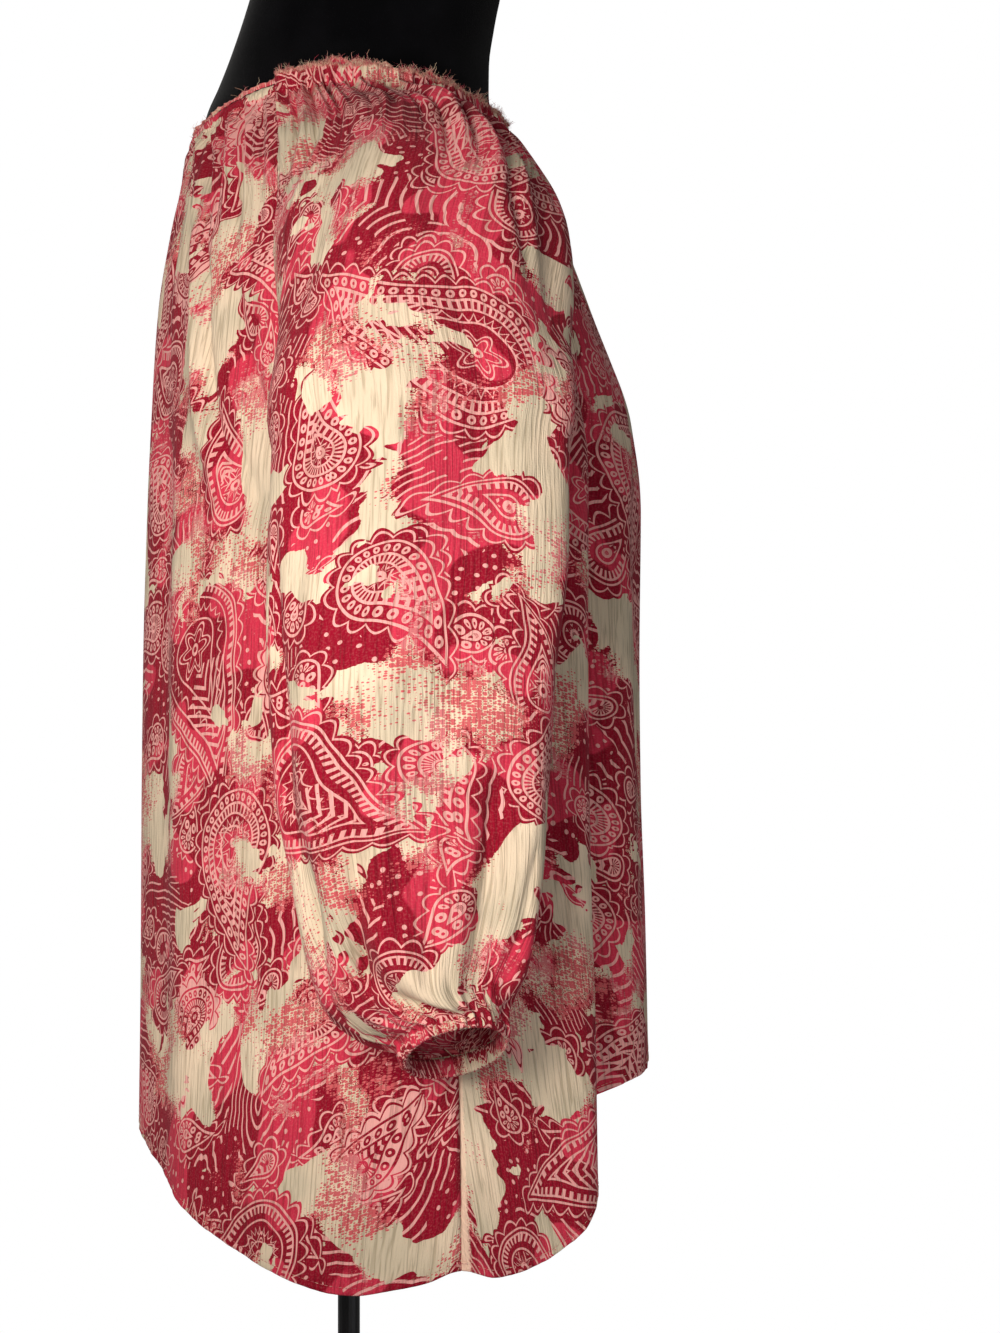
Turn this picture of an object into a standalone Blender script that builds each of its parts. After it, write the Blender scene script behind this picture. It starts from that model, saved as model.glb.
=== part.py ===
"""Peasant blouse with raglan sleeves, worn by a limbless dress form on a pole and a round base.

Metres, +Z up. The wearer faces -Y, so the wearer's right side is -X. Everything stands on z = 0.
"""

import math

import bmesh
import bpy
import numpy as np

for old in list(bpy.data.objects):
    bpy.data.objects.remove(old, do_unlink=True)

# ---- driving sizes ----
CLOTH = 0.0012  # wall of one layer of crinkled chiffon
SEAM_GAP = 0.0003  # between pieces that are sewn together
EDGE_SLANT = 0.0009  # how far the inner edge of a panel is cut back beside a seam
RAGLAN_ROWS = 8  # rows of cells from the neckline to the underarm
BODY_ROWS = 12  # rows of cells from the underarm to the hem
SLEEVE_ROWS = 16  # rows of cells from the underarm to the cuff
FRONT_GATHERS, BACK_GATHERS, SLEEVE_GATHERS = 14, 17, 14
NECK_GATHER = 0.0014  # height of a neckline gather, each way
CUFF_GATHER = 0.0014  # height of a cuff gather, each way
DRAPE_DEPTHS = (0.0014, 0.0022, 0.0036)  # shallow upright folds: at the chest, the underarm, the hem

UNDERARM_HEIGHT = 0.690
# The torso of the blouse, by level: 0 neckline, 4 underarm, 8 hem.
# level, half width, y front, y back, squareness, z front, z side, z back
BODY_LEVELS = np.array([
    (0, 0.098, -0.0920, 0.0930, 2.0, 0.910, 0.927, 0.904),
    (1, 0.146, -0.1225, 0.1020, 2.2, 0.862, 0.870, 0.862),
    (2, 0.165, -0.1465, 0.1110, 2.4, 0.800, 0.812, 0.806),
    (3, 0.174, -0.1665, 0.1150, 2.4, 0.742, 0.750, 0.746),
    (4, 0.178, -0.1716, 0.1180, 2.4, 0.690, 0.690, 0.690),
    (5, 0.180, -0.1712, 0.1200, 2.4, 0.590, 0.590, 0.590),
    (6, 0.182, -0.1722, 0.1205, 2.4, 0.490, 0.490, 0.490),
    (7, 0.185, -0.1750, 0.1205, 2.4, 0.390, 0.390, 0.390),
    (8, 0.190, -0.1765, 0.1210, 2.4, 0.290, 0.290, 0.290),
])
# Height of the hem round the right half: angle from the right side, height
HEM = np.array([
    (-90, 0.342), (-75, 0.335), (-62, 0.3225), (-50, 0.3075), (-39, 0.293), (-24, 0.2785),
    (-6, 0.2665), (3.5, 0.2725), (10.3, 0.2790), (17, 0.2745), (27, 0.2800), (36, 0.2950),
    (43, 0.316), (54, 0.356), (66, 0.368), (90, 0.3730),
])
# Where the seams lie on the torso: level, angle of the front raglan, angle of the back raglan
SEAMS = np.array([(0, 55, -25), (1, 49, -23), (2, 44, -20.5), (3, 32, -14), (4, 3, 3)])
SIDE_SEAM = np.array([(4, 3), (5, 6), (6, 8.5), (7, 10), (8, 10.3)])  # level, angle
# Long soft folds of the torso: angle, half width of the fold, level where it is full,
# push at that level, push at the hem
BODY_FOLDS = [
    (38, 7, 4, 0.009, 0.010), (53, 7, 4, -0.023, -0.021), (73, 7, 5, 0.001, 0.003),
    (88, 6, 5, -0.003, -0.005), (104, 7, 5, 0.001, 0.003),
    (127, 7, 4, -0.018, -0.019), (142, 7, 4, 0.007, 0.008),
    (-30, 7, 4, -0.003, -0.004), (-46, 7, 4, 0.002, 0.004), (-60, 6, 3, -0.004, -0.006),
    (-76, 7, 3, 0.001, 0.003), (-92, 6, 3, -0.004, -0.006), (-106, 7, 4, 0.001, 0.003),
    (-122, 6, 4, -0.004, -0.006), (-137, 7, 4, 0.002, 0.004), (-151, 7, 4, -0.003, -0.004),
    (24, 6, 6, 0.001, 0.003), (158, 6, 6, 0.001, 0.004),
]

# The right sleeve, by station: 0 neckline, 4 underarm, 12 top of the cuff casing.
# station, centre x, y, z, reach outward, its rise, half width, its rise to the front,
# angle at the back edge, angle at the front edge
SLEEVE_STATIONS = np.array([
    (0, 0.0000, 0.0005, 0.9260, 0.0980, 0.0000, 0.0925, 0.000, 25, 55),
    (1, -0.0950, -0.0340, 0.8660, 0.0620, 0.0400, 0.0850, 0.000, 60, 86),
    (2, -0.1570, -0.0455, 0.8240, 0.0480, 0.0440, 0.0830, 0.000, 100, 110),
    (3, -0.1950, -0.0435, 0.7690, 0.0450, 0.0390, 0.0768, 0.000, 130, 120),
    (4, -0.2200, -0.0405, 0.7120, 0.0400, 0.0225, 0.0766, 0.000, 180, 180),
    (5, -0.2290, -0.0390, 0.6525, 0.0370, 0.0125, 0.0775, 0.000, 180, 180),
    (6, -0.2340, -0.0360, 0.5925, 0.0350, 0.0075, 0.0742, 0.000, 180, 180),
    (7, -0.2350, -0.0362, 0.5350, 0.0345, 0.0050, 0.0705, 0.000, 180, 180),
    (8, -0.2350, -0.0390, 0.4900, 0.0345, 0.0060, 0.0648, 0.001, 180, 180),
    (9, -0.2345, -0.0402, 0.4520, 0.0350, 0.0080, 0.0585, 0.003, 180, 180),
    (10, -0.2330, -0.0420, 0.4285, 0.0350, 0.0105, 0.0505, 0.006, 180, 180),
    (11, -0.2315, -0.0487, 0.4150, 0.0335, 0.0125, 0.0375, 0.008, 180, 180),
    (12, -0.2305, -0.0572, 0.4090, 0.0315, 0.0135, 0.0265, 0.0055, 180, 180),
])
# Folds of the sleeve: angle and station of one end, the same of the other end, half width
# across in degrees, push
SLEEVE_FOLDS = [
    (-72, 5.5, -62, 9.2, 13, -0.006), (-48, 5.5, -42, 9.0, 12, 0.004),
    (-40, 8.6, -6, 11.5, 11, -0.008), (-16, 8.8, 12, 11.4, 11, 0.005),
    (40, 7.0, 36, 11.2, 11, -0.006), (62, 6.6, 66, 10.8, 11, 0.005),
    (28, 0.3, 62, 3.2, 9, -0.005), (14, 0.3, 38, 3.0, 9, 0.004),
    (-16, 0.3, -56, 3.0, 9, -0.004), (4, 0.3, 6, 2.8, 9, -0.003), (-6, 0.3, -26, 2.8, 9, 0.002),
    (74, 2.6, 66, 6.0, 13, 0.004), (22, 3.6, 14, 7.4, 15, -0.004), (-12, 4.0, -16, 7.6, 16, 0.003),
]
UNDERARM_STEP = 0.0012  # the sleeve stands this far off the torso at the underarm

# neckline casing, a rolled strip, and the raw frill that stands up from it
CASING_HEIGHT, CASING_THICK, CASING_SEGMENTS = 0.0066, 0.0038, 84
FRILL_HEIGHT, FRILL_WAVES, FRILL_SWING, FRILL_LEAN = 0.0105, 42, 0.0016, 0.0015
# elastic casing at the cuff
CUFF_HEIGHT, CUFF_THICK, CUFF_GATHERS = 0.0085, 0.0018, 22
CUFF_STEP = 0.0007  # from the sleeve's last row to the casing

# dress form: height, half width, y front, y back, squareness
FORM_SECTIONS = np.array([
    (0.375, 0.138, -0.106, 0.080, 2.2), (0.379, 0.150, -0.118, 0.092, 2.2),
    (0.395, 0.156, -0.124, 0.098, 2.2), (0.450, 0.158, -0.126, 0.100, 2.2),
    (0.530, 0.146, -0.116, 0.092, 2.1), (0.600, 0.126, -0.106, 0.080, 2.1),
    (0.660, 0.132, -0.122, 0.085, 2.1), (0.700, 0.141, -0.141, 0.092, 2.2),
    (0.735, 0.148, -0.151, 0.097, 2.3), (0.770, 0.151, -0.146, 0.100, 2.3),
    (0.810, 0.153, -0.128, 0.100, 2.1), (0.840, 0.152, -0.114, 0.097, 2.0),
    (0.862, 0.147, -0.105, 0.094, 1.8), (0.880, 0.139, -0.099, 0.092, 1.7),
    (0.894, 0.127, -0.0945, 0.0905, 1.7), (0.906, 0.112, -0.0905, 0.0890, 1.8),
    (0.917, 0.098, -0.0880, 0.0872, 1.9), (0.928, 0.090, -0.0858, 0.0845, 2.0),
    (0.942, 0.082, -0.0838, 0.0785, 2.0),
    (0.960, 0.075, -0.0840, 0.0715, 2.0), (0.985, 0.071, -0.0875, 0.0630, 2.0),
    (1.012, 0.070, -0.0920, 0.0550, 2.0), (1.030, 0.068, -0.0910, 0.0500, 2.0),
    (1.038, 0.063, -0.0850, 0.0440, 2.0), (1.041, 0.053, -0.0740, 0.0340, 2.0),
])
FORM_SIDES = 32
POLE_RADIUS, POLE_SIDES = 0.0066, 20
BASE_RADIUS, BASE_SIDES = 0.130, 48
BASE_HEIGHT, RIM_ROUND, BOSS_RADIUS, BOSS_HEIGHT = 0.009, 0.002, 0.018, 0.006


# ---- curves through short tables ----
def through(table, column, at):
    """A smooth curve through one column of a table that never swings past its rows."""
    x, y = table[:, 0].astype(float), table[:, column].astype(float)
    at = np.clip(np.asarray(at, float), x[0], x[-1])
    step, rise = np.diff(x), np.diff(y)
    slope = rise / step
    tangent = np.zeros(len(x))
    same = slope[:-1] * slope[1:] > 0
    w1, w2 = 2 * step[1:] + step[:-1], step[1:] + 2 * step[:-1]
    inner = np.zeros(len(slope) - 1)
    inner[same] = (w1 + w2)[same] / (w1[same] / slope[:-1][same] + w2[same] / slope[1:][same])
    tangent[1:-1] = inner
    tangent[0], tangent[-1] = slope[0], slope[-1]
    i = np.clip(np.searchsorted(x, at, side="right") - 1, 0, len(step) - 1)
    t = (at - x[i]) / step[i]
    return (
        y[i] * (1 + 2 * t) * (1 - t) ** 2
        + step[i] * tangent[i] * t * (1 - t) ** 2
        + y[i + 1] * t * t * (3 - 2 * t)
        + step[i] * tangent[i + 1] * t * t * (t - 1)
    )


def ease(t):
    t = np.clip(t, 0, 1)
    return t * t * (3 - 2 * t)


def power(value, exponent):
    return np.sign(value) * np.abs(value) ** exponent


def hem_height(angle):
    """Height of the hem at an angle, the same on both sides."""
    a = (np.asarray(angle, float) + 180) % 360 - 180
    a = np.where(a > 90, 180 - a, np.where(a < -90, -180 - a, a))
    return through(HEM, 1, a)


def torso(level, angle):
    """A point of the torso without its folds."""
    level, angle = np.broadcast_arrays(np.asarray(level, float), np.asarray(angle, float))
    half, front, back, square, z_front, z_side, z_back = (
        through(BODY_LEVELS, c, level) for c in range(1, 8)
    )
    c, s = np.cos(np.radians(angle)), np.sin(np.radians(angle))
    x = -half * power(c, 2 / square)
    y = (front + back) / 2 - (back - front) / 2 * power(s, 2 / square)
    z = z_side + np.where(s > 0, z_front - z_side, z_back - z_side) * s * s
    down = np.clip((level - 4) / 4, 0, 1)
    z = np.where(level > 4, UNDERARM_HEIGHT + (hem_height(angle) - UNDERARM_HEIGHT) * down, z)
    return np.stack([x, y, z], axis=-1)


def torso_folds(level, angle):
    """How far the long folds push the torso out at a point."""
    a = (np.asarray(angle, float) + 200) % 360 - 200
    total = np.zeros(np.broadcast(level, a).shape)
    for centre, half, full, push, at_hem in BODY_FOLDS:
        grown = ease((level - (full - 2.6)) / 2.6)
        size = push + (at_hem - push) * np.clip((level - full) / (8 - full), 0, 1)
        total += size * grown * np.exp(-(((a - centre) / half) ** 2))
    return total


def seam_angle(level, column):
    """Angle of the panel's right edge: the raglan seam, then the side seam."""
    return np.where(level < 4, through(SEAMS, column, level), through(SIDE_SEAM, 1, level))


def outward(points, middle, round_it=False):
    """Unit normals of a grid of points, on the side away from its middle points."""
    if round_it:
        across = (np.roll(points, -1, axis=1) - np.roll(points, 1, axis=1)) / 2
    else:
        across = np.gradient(points, axis=1)
    n = np.cross(across, np.gradient(points, axis=0))
    n /= np.maximum(np.linalg.norm(n, axis=-1, keepdims=True), 1e-12)
    if float((n * (points - middle)).sum()) < 0:
        n = -n
    return n


def gather_wave(count, columns, seed):
    """A gather every two columns, some taller than others."""
    j = np.arange(columns + 1)
    size = 0.75 + 0.25 * np.sin(1.7 * j + seed) * np.cos(0.61 * j + 2 * seed)
    return np.cos(2 * math.pi * count * j / columns) * size


def soft_drape(level, share, count, seed):
    """Shallow upright folds under the gathers, deeper and wider apart toward the hem."""
    turn = 2 * math.pi * (share * count + 0.22 * np.sin(2 * math.pi * share * 2.3 + seed))
    turn = turn + 0.25 * np.sin(0.6 * level + seed)
    depth = np.interp(level, [0.4, 2, 4, 8], [0.0, *DRAPE_DEPTHS])
    uneven = 0.7 + 0.3 * np.sin(2 * math.pi * share * (count - 1) * 0.37 + 3 * seed)
    return depth * uneven * np.sin(turn)


def draw_in(points, distance):
    """Moves the first and last column a little way into the panel, so that seams stay parted."""
    out = points.copy()
    for edge, inside in ((0, 1), (-1, -2)):
        way = points[:, inside] - points[:, edge]
        out[:, edge] += way / np.linalg.norm(way, axis=-1, keepdims=True) * distance
    return out


# ---- the panels ----
def torso_panel(column, sign, gathers, seed):
    """Outer face of the front (sign 1) or the back (sign -1), rows from neckline to hem."""
    columns = 2 * gathers
    levels = np.concatenate([np.linspace(0, 4, RAGLAN_ROWS + 1), np.linspace(4, 8, BODY_ROWS + 1)[1:]])
    level = levels[:, None]
    edge = seam_angle(level, column)
    share = np.linspace(0, 1, columns + 1)[None, :]
    angle = edge + (sign * 180 - 2 * edge) * share
    base = torso(level, angle)
    n = outward(base, np.array([0, -0.02, 0.6]))
    flat = n * np.array([1, 1, 0.15])
    flat /= np.linalg.norm(flat, axis=-1, keepdims=True)
    from_edge = np.minimum(share, 1 - share)
    from_seam = ease(from_edge / 0.06)
    fold = torso_folds(level, angle) * ease(from_edge / np.interp(level, [2, 3.6, 5], [0.10, 0.16, 0.06]))
    wave = gather_wave(gathers, columns, seed)[None, :]
    fine = NECK_GATHER * wave * np.exp(-((level / 1.5) ** 2)) * from_seam
    drape = soft_drape(level, share, gathers // 2, seed) * from_seam
    return draw_in(base + flat * (fold + fine + drape)[..., None], SEAM_GAP / 2)


def sleeve_point(station, angle):
    """A point of the right sleeve's plain tube, before it is joined to its seams."""
    cx, cy, cz, reach, rise, half, front_rise = (
        through(SLEEVE_STATIONS, c, station) for c in range(1, 8)
    )
    c, s = np.cos(np.radians(angle)), np.sin(np.radians(angle))
    return np.stack([cx - reach * c, cy - half * s, cz + rise * c + front_rise * s], axis=-1)


def sleeve_folds(station, angle):
    total = np.zeros(np.broadcast(station, angle).shape)
    for a0, s0, a1, s1, half, push in SLEEVE_FOLDS:
        t = (station - s0) / (s1 - s0)
        centre = a0 + (a1 - a0) * np.clip(t, 0, 1)
        along = ease((t + 0.25) / 0.5) * ease((1.25 - t) / 0.5)
        total += push * along * np.exp(-(((angle - centre) / half) ** 2))
    return total


def sleeve_panel(seed):
    """Outer face of the right sleeve, columns from the back edge over the arm to the front edge."""
    columns = 2 * SLEEVE_GATHERS
    top = np.linspace(0, 4, RAGLAN_ROWS + 1)
    stations = np.concatenate([top, 4 + 8 * np.linspace(0, 1, SLEEVE_ROWS + 1)[1:] ** 0.92])
    station = stations[:, None]
    back, front = through(SLEEVE_STATIONS, 8, station), through(SLEEVE_STATIONS, 9, station)
    share = np.linspace(0, 1, columns + 1)[None, :]
    angle = -back + (back + front) * share
    base = sleeve_point(station, angle)
    # the top row lies on the neckline
    base += (1 - ease(station / 1.2))[..., None] * (torso(0.0, angle[0]) - base[0])[None]
    # the two edges follow the raglan seams down to the underarm
    off = np.array([-1.0, 0, 0]) * UNDERARM_STEP * ease((top - 2.4) / 1.6)[:, None]
    back_seam = torso(top, through(SEAMS, 2, top)) + off
    front_seam = torso(top, through(SEAMS, 1, top)) + off
    k = len(top)
    near_back, near_front = (1 - share[0]) ** 5, share[0] ** 5
    base[:k] += near_back[None, :, None] * (back_seam - base[:k, 0])[:, None]
    base[:k] += near_front[None, :, None] * (front_seam - base[:k, -1])[:, None]
    # below the underarm the edges leave that point without a jump
    fade = (1 - ease((stations[k:] - 4) / 1.5))[:, None, None]
    shift = base[k - 1, 0] - sleeve_point(4.0, -180.0)
    base[k:] += fade * (near_back + near_front)[None, :, None] * shift
    middle = base.mean(axis=1, keepdims=True)
    n = outward(base, middle + np.array([0.02, 0, -0.02]))
    from_seam = ease(np.minimum(share, 1 - share) / 0.07)
    wave = gather_wave(SLEEVE_GATHERS, columns, seed)[None, :]
    fine = NECK_GATHER * (wave - 1) * np.exp(-((station / 1.4) ** 2))
    cuff = CUFF_GATHER * (wave - 1) * ease((station - 9.6) / 2.0)
    push = (sleeve_folds(station, angle) * ease(station / 0.5) + fine + cuff) * from_seam
    return draw_in(base + n * push[..., None], SEAM_GAP / 2)


# ---- solids ----
def material(name, colour, roughness, metallic=0.0):
    m = bpy.data.materials.new(name)
    m.use_nodes = True
    p = m.node_tree.nodes["Principled BSDF"]
    p.inputs["Base Color"].default_value = (*colour, 1)
    p.inputs["Roughness"].default_value = roughness
    p.inputs["Metallic"].default_value = metallic
    return m


def make(name, points, faces, mat):
    mesh = bpy.data.meshes.new(name)
    mesh.from_pydata([tuple(map(float, p)) for p in points], [], faces)
    mesh.validate()
    mesh.update()
    mesh.materials.append(mat)
    mesh.shade_smooth()
    mesh.set_sharp_from_angle(angle=math.radians(50))
    o = bpy.data.objects.new(name, mesh)
    bpy.context.scene.collection.objects.link(o)
    return o


def wall(name, outer, thick, mat, middle, round_it=False):
    """A closed wall whose outer face is a grid of points and whose other face lies inside it."""
    n = outward(outer, middle, round_it)
    inner = outer - n * thick
    if not round_it:
        inner = draw_in(inner, EDGE_SLANT)
    rows, columns = outer.shape[:2]
    points = np.concatenate([outer.reshape(-1, 3), inner.reshape(-1, 3)])
    half = rows * columns
    cells = columns if round_it else columns - 1
    flip = float((np.cross(outer[0, 1] - outer[0, 0], outer[1, 0] - outer[0, 0]) * n[0, 0]).sum()) < 0
    faces = []
    for i in range(rows - 1):
        for j in range(cells):
            k = (j + 1) % columns
            a, b, c, d = i * columns + j, i * columns + k, (i + 1) * columns + k, (i + 1) * columns + j
            faces.append((a, b, c, d))
            faces.append((half + d, half + c, half + b, half + a))
    for j in range(cells):
        k = (j + 1) % columns
        last = (rows - 1) * columns
        faces.append((k, j, half + j, half + k))
        faces.append((last + j, last + k, half + last + k, half + last + j))
    if not round_it:
        for i in range(rows - 1):
            a, b = i * columns, (i + 1) * columns
            faces.append((a, b, half + b, half + a))
            a, b = a + columns - 1, b + columns - 1
            faces.append((b, a, half + a, half + b))
    if flip:
        faces = [f[::-1] for f in faces]
    return make(name, points, faces, mat)


def loft(name, rings, mat):
    """A solid through closed rings of points, with a flat cap at each end."""
    count = len(rings[0])
    points = [p for ring in rings for p in ring]
    faces = []
    for i in range(len(rings) - 1):
        for j in range(count):
            k = (j + 1) % count
            faces.append((i * count + j, i * count + k, (i + 1) * count + k, (i + 1) * count + j))
    faces.append(tuple(range(count))[::-1])
    faces.append(tuple(range((len(rings) - 1) * count, len(rings) * count)))
    return make(name, points, faces, mat)


def bar_ring(name, path, side, up, mat):
    """A closed ring of cloth rolled round a path: a six-sided section with its half sizes."""
    count = len(path)
    section = [(math.cos(math.radians(a)), math.sin(math.radians(a))) for a in range(0, 360, 60)]
    points = [path[i] + side[i] * c + up[i] * s for i in range(count) for c, s in section]
    m = len(section)
    faces = []
    for i in range(count):
        for j in range(m):
            a, b = i * m + j, i * m + (j + 1) % m
            c, d = ((i + 1) % count) * m + (j + 1) % m, ((i + 1) % count) * m + j
            faces.append((a, d, c, b))
    return make(name, points, faces, mat)


cloth_front = material("Front cloth", (0.62, 0.16, 0.22), 0.8)
cloth_back = material("Back cloth", (0.58, 0.14, 0.20), 0.8)
cloth_sleeve = material("Sleeve cloth", (0.70, 0.20, 0.25), 0.8)
cloth_edge = material("Gathered edge cloth", (0.66, 0.10, 0.18), 0.85)
velvet = material("Black velvet", (0.012, 0.012, 0.014), 0.95)
painted = material("Black painted steel", (0.02, 0.02, 0.02), 0.4, 0.0)

BODY_MIDDLE = np.array([0, -0.025, 0.62])
wall("front", torso_panel(1, 1, FRONT_GATHERS, 0.4), CLOTH, cloth_front, BODY_MIDDLE)
wall("back", torso_panel(2, -1, BACK_GATHERS, 1.3), CLOTH, cloth_back, BODY_MIDDLE)

MIRROR = np.array([-1.0, 1, 1])
right = sleeve_panel(0.9)
left = sleeve_panel(2.1) * MIRROR
for name, points in (("sleeve_right", right), ("sleeve_left", left)):
    centre = points.mean(axis=1, keepdims=True)
    side = np.array([0.02, 0, -0.02]) * (MIRROR if name == "sleeve_left" else 1)
    wall(name, points, CLOTH, cloth_sleeve, centre + side)

# casing rolled round the neckline
turn = np.linspace(0, 360, CASING_SEGMENTS, endpoint=False)
neck = torso(0.0, turn)
face_out = neck - np.array([0, 0.0015, 0])
face_out[:, 2] = 0
face_out /= np.linalg.norm(face_out, axis=1, keepdims=True)
ripple = 1 + 0.14 * np.cos(math.pi * np.arange(CASING_SEGMENTS))[:, None]
rise = np.array([0, 0, 1.0])
middle_path = neck + rise * (SEAM_GAP + CASING_HEIGHT / 2)
bar_ring("neck_casing", middle_path, face_out * CASING_THICK / 2 * ripple,
         np.tile(rise * CASING_HEIGHT / 2 / math.sin(math.radians(60)), (CASING_SEGMENTS, 1)), cloth_edge)

# raw frill above the casing
columns = 2 * FRILL_WAVES
turn = np.linspace(0, 360, columns, endpoint=False)
neck = torso(0.0, turn)
face_out = neck - np.array([0, 0.0015, 0])
face_out[:, 2] = 0
face_out /= np.linalg.norm(face_out, axis=1, keepdims=True)
wave = np.cos(math.pi * np.arange(columns)) * (0.8 + 0.2 * np.sin(1.3 * np.arange(columns)))
tall = FRILL_HEIGHT * (0.85 + 0.15 * np.sin(0.7 * np.arange(columns)) * np.cos(0.33 * np.arange(columns) + 1))
rows = []
for share in (0.0, 0.5, 1.0):
    swing = 0.0004 * wave + share * (FRILL_SWING * wave + FRILL_LEAN)
    height = 3 * SEAM_GAP + CASING_HEIGHT + share * tall
    rows.append(neck + face_out * (swing + CLOTH / 2)[:, None] + rise * height[:, None])
wall("neck_frill", np.array(rows), CLOTH, cloth_edge, np.array([0, 0, 0.93]), round_it=True)

# elastic casing at each cuff
columns = 2 * CUFF_GATHERS
turn = np.linspace(-180, 180, columns, endpoint=False)
top_row, above = sleeve_point(12.0, turn), sleeve_point(11.6, turn)
centre = top_row.mean(axis=0)
drop = np.cross(top_row[columns // 4] - centre, top_row[columns // 2] - centre)
drop *= -np.sign(drop[2]) / np.linalg.norm(drop)
bulge = top_row - centre
bulge /= np.linalg.norm(bulge, axis=1, keepdims=True)
wave = np.cos(math.pi * np.arange(columns))
rows = []
for share in (0.0, 0.5, 1.0):
    swell = 0.0006 + 0.0008 * math.sin(math.pi * share) + 0.0005 * wave - 0.0005 * share
    rows.append(top_row + bulge * swell[:, None] + drop * (CUFF_STEP + share * CUFF_HEIGHT))
cuff = np.array(rows)
wall("cuff_right", cuff, CUFF_THICK, cloth_edge, centre, round_it=True)
wall("cuff_left", cuff * MIRROR, CUFF_THICK, cloth_edge, centre * MIRROR, round_it=True)

# dress form, pole and base
rings = []
for height, half, front, back, square in FORM_SECTIONS:
    a = np.radians(np.linspace(0, 360, FORM_SIDES, endpoint=False))
    x = half * power(np.cos(a), 2 / square)
    y = (front + back) / 2 + (back - front) / 2 * power(np.sin(a), 2 / square)
    rings.append(np.stack([x, y, np.full(FORM_SIDES, height)], axis=1))
loft("form", rings, velvet)


# the base is a flat disc with a rounded rim and a low boss, the pole a plain tube end to end
bpy.ops.mesh.primitive_cylinder_add(vertices=BASE_SIDES, radius=BASE_RADIUS, depth=BASE_HEIGHT,
                                    location=(0, 0, BASE_HEIGHT / 2))
base = bpy.context.object
base.name = base.data.name = "base"
base.data.materials.append(painted)
b = bmesh.new()
b.from_mesh(base.data)
top = max(b.faces, key=lambda f: f.calc_center_median().z)
boss = bmesh.ops.inset_region(b, faces=[top], thickness=BASE_RADIUS - BOSS_RADIUS, depth=0.0)
raised = bmesh.ops.extrude_face_region(b, geom=[top])
bmesh.ops.translate(b, vec=(0, 0, BOSS_HEIGHT), verts=[g for g in raised["geom"] if isinstance(g, bmesh.types.BMVert)])
bmesh.ops.delete(b, geom=[top], context="FACES_ONLY")
rim = [e for e in b.edges if all(abs(v.co.xy.length - BASE_RADIUS) < 1e-4 for v in e.verts)
       and abs(e.verts[0].co.z - e.verts[1].co.z) < 1e-5]
bmesh.ops.bevel(b, geom=rim, offset=RIM_ROUND, segments=2, profile=0.5, affect="EDGES")
b.to_mesh(base.data)
b.free()

pole_foot = BASE_HEIGHT + BOSS_HEIGHT + SEAM_GAP
pole_head = FORM_SECTIONS[0, 0] - SEAM_GAP
bpy.ops.mesh.primitive_cylinder_add(vertices=POLE_SIDES, radius=POLE_RADIUS, depth=pole_head - pole_foot,
                                    location=(0, 0, (pole_head + pole_foot) / 2))
pole = bpy.context.object
pole.name = pole.data.name = "pole"
pole.data.materials.append(painted)
for o in (base, pole):
    o.data.shade_smooth()
    o.data.set_sharp_from_angle(angle=math.radians(40))
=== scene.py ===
import math
from functools import partial

import bmesh
import bpy
import numpy as np
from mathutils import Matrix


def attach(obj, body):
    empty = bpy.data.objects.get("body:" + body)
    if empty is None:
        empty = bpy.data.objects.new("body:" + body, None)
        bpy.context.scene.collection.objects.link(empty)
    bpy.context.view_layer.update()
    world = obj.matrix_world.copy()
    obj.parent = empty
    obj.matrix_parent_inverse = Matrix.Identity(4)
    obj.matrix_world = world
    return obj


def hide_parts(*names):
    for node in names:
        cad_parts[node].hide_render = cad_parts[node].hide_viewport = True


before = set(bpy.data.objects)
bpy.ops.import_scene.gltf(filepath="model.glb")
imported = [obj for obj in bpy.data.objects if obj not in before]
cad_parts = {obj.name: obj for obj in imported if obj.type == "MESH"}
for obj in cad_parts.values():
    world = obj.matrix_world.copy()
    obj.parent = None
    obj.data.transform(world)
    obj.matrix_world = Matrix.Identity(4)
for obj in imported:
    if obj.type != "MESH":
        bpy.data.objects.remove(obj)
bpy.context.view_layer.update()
scene = bpy.context.scene
bpy.ops.object.select_all(action="DESELECT")


# camera and lights: the camera stands level with the middle of the blouse, at its right side
viewPoint = {"height": 1333, "metresPerPixel": 0.0006, "distance": 1.65, "centreHeight": 0.60,
             "sidestep": -0.0276, "columnsAside": 105, "sensor": 36}


def addObject(name, data):
    thing = bpy.data.objects.new(name, data)
    scene.collection.objects.link(thing)
    return thing


def aim(thing, target):
    spot = np.array(thing.location, float)
    way = np.array(target, float) - spot
    flat = math.hypot(way[0], way[1])
    thing.rotation_euler = (math.atan2(flat, -way[2]), 0, math.atan2(way[1], way[0]) - math.pi / 2)


def makeCamera():
    v = viewPoint
    data = bpy.data.cameras.new("camera")
    data.sensor_fit = "VERTICAL"
    data.sensor_height = v["sensor"]
    data.lens = v["sensor"] * v["distance"] / (v["height"] * v["metresPerPixel"])
    camera = addObject("camera", data)
    camera.location = (-v["distance"], v["sidestep"], v["centreHeight"])
    turn = math.atan(v["columnsAside"] * v["metresPerPixel"] / v["distance"])
    camera.rotation_euler = (math.pi / 2, 0, -math.pi / 2 - turn)
    scene.camera = camera


def hexColour(text):
    shares = [int(text[i:i + 2], 16) / 255 for i in (1, 3, 5)]
    linear = [s / 12.92 if s <= 0.04045 else ((s + 0.055) / 1.055) ** 2.4 for s in shares]
    return (*linear, 1.0)


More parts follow.
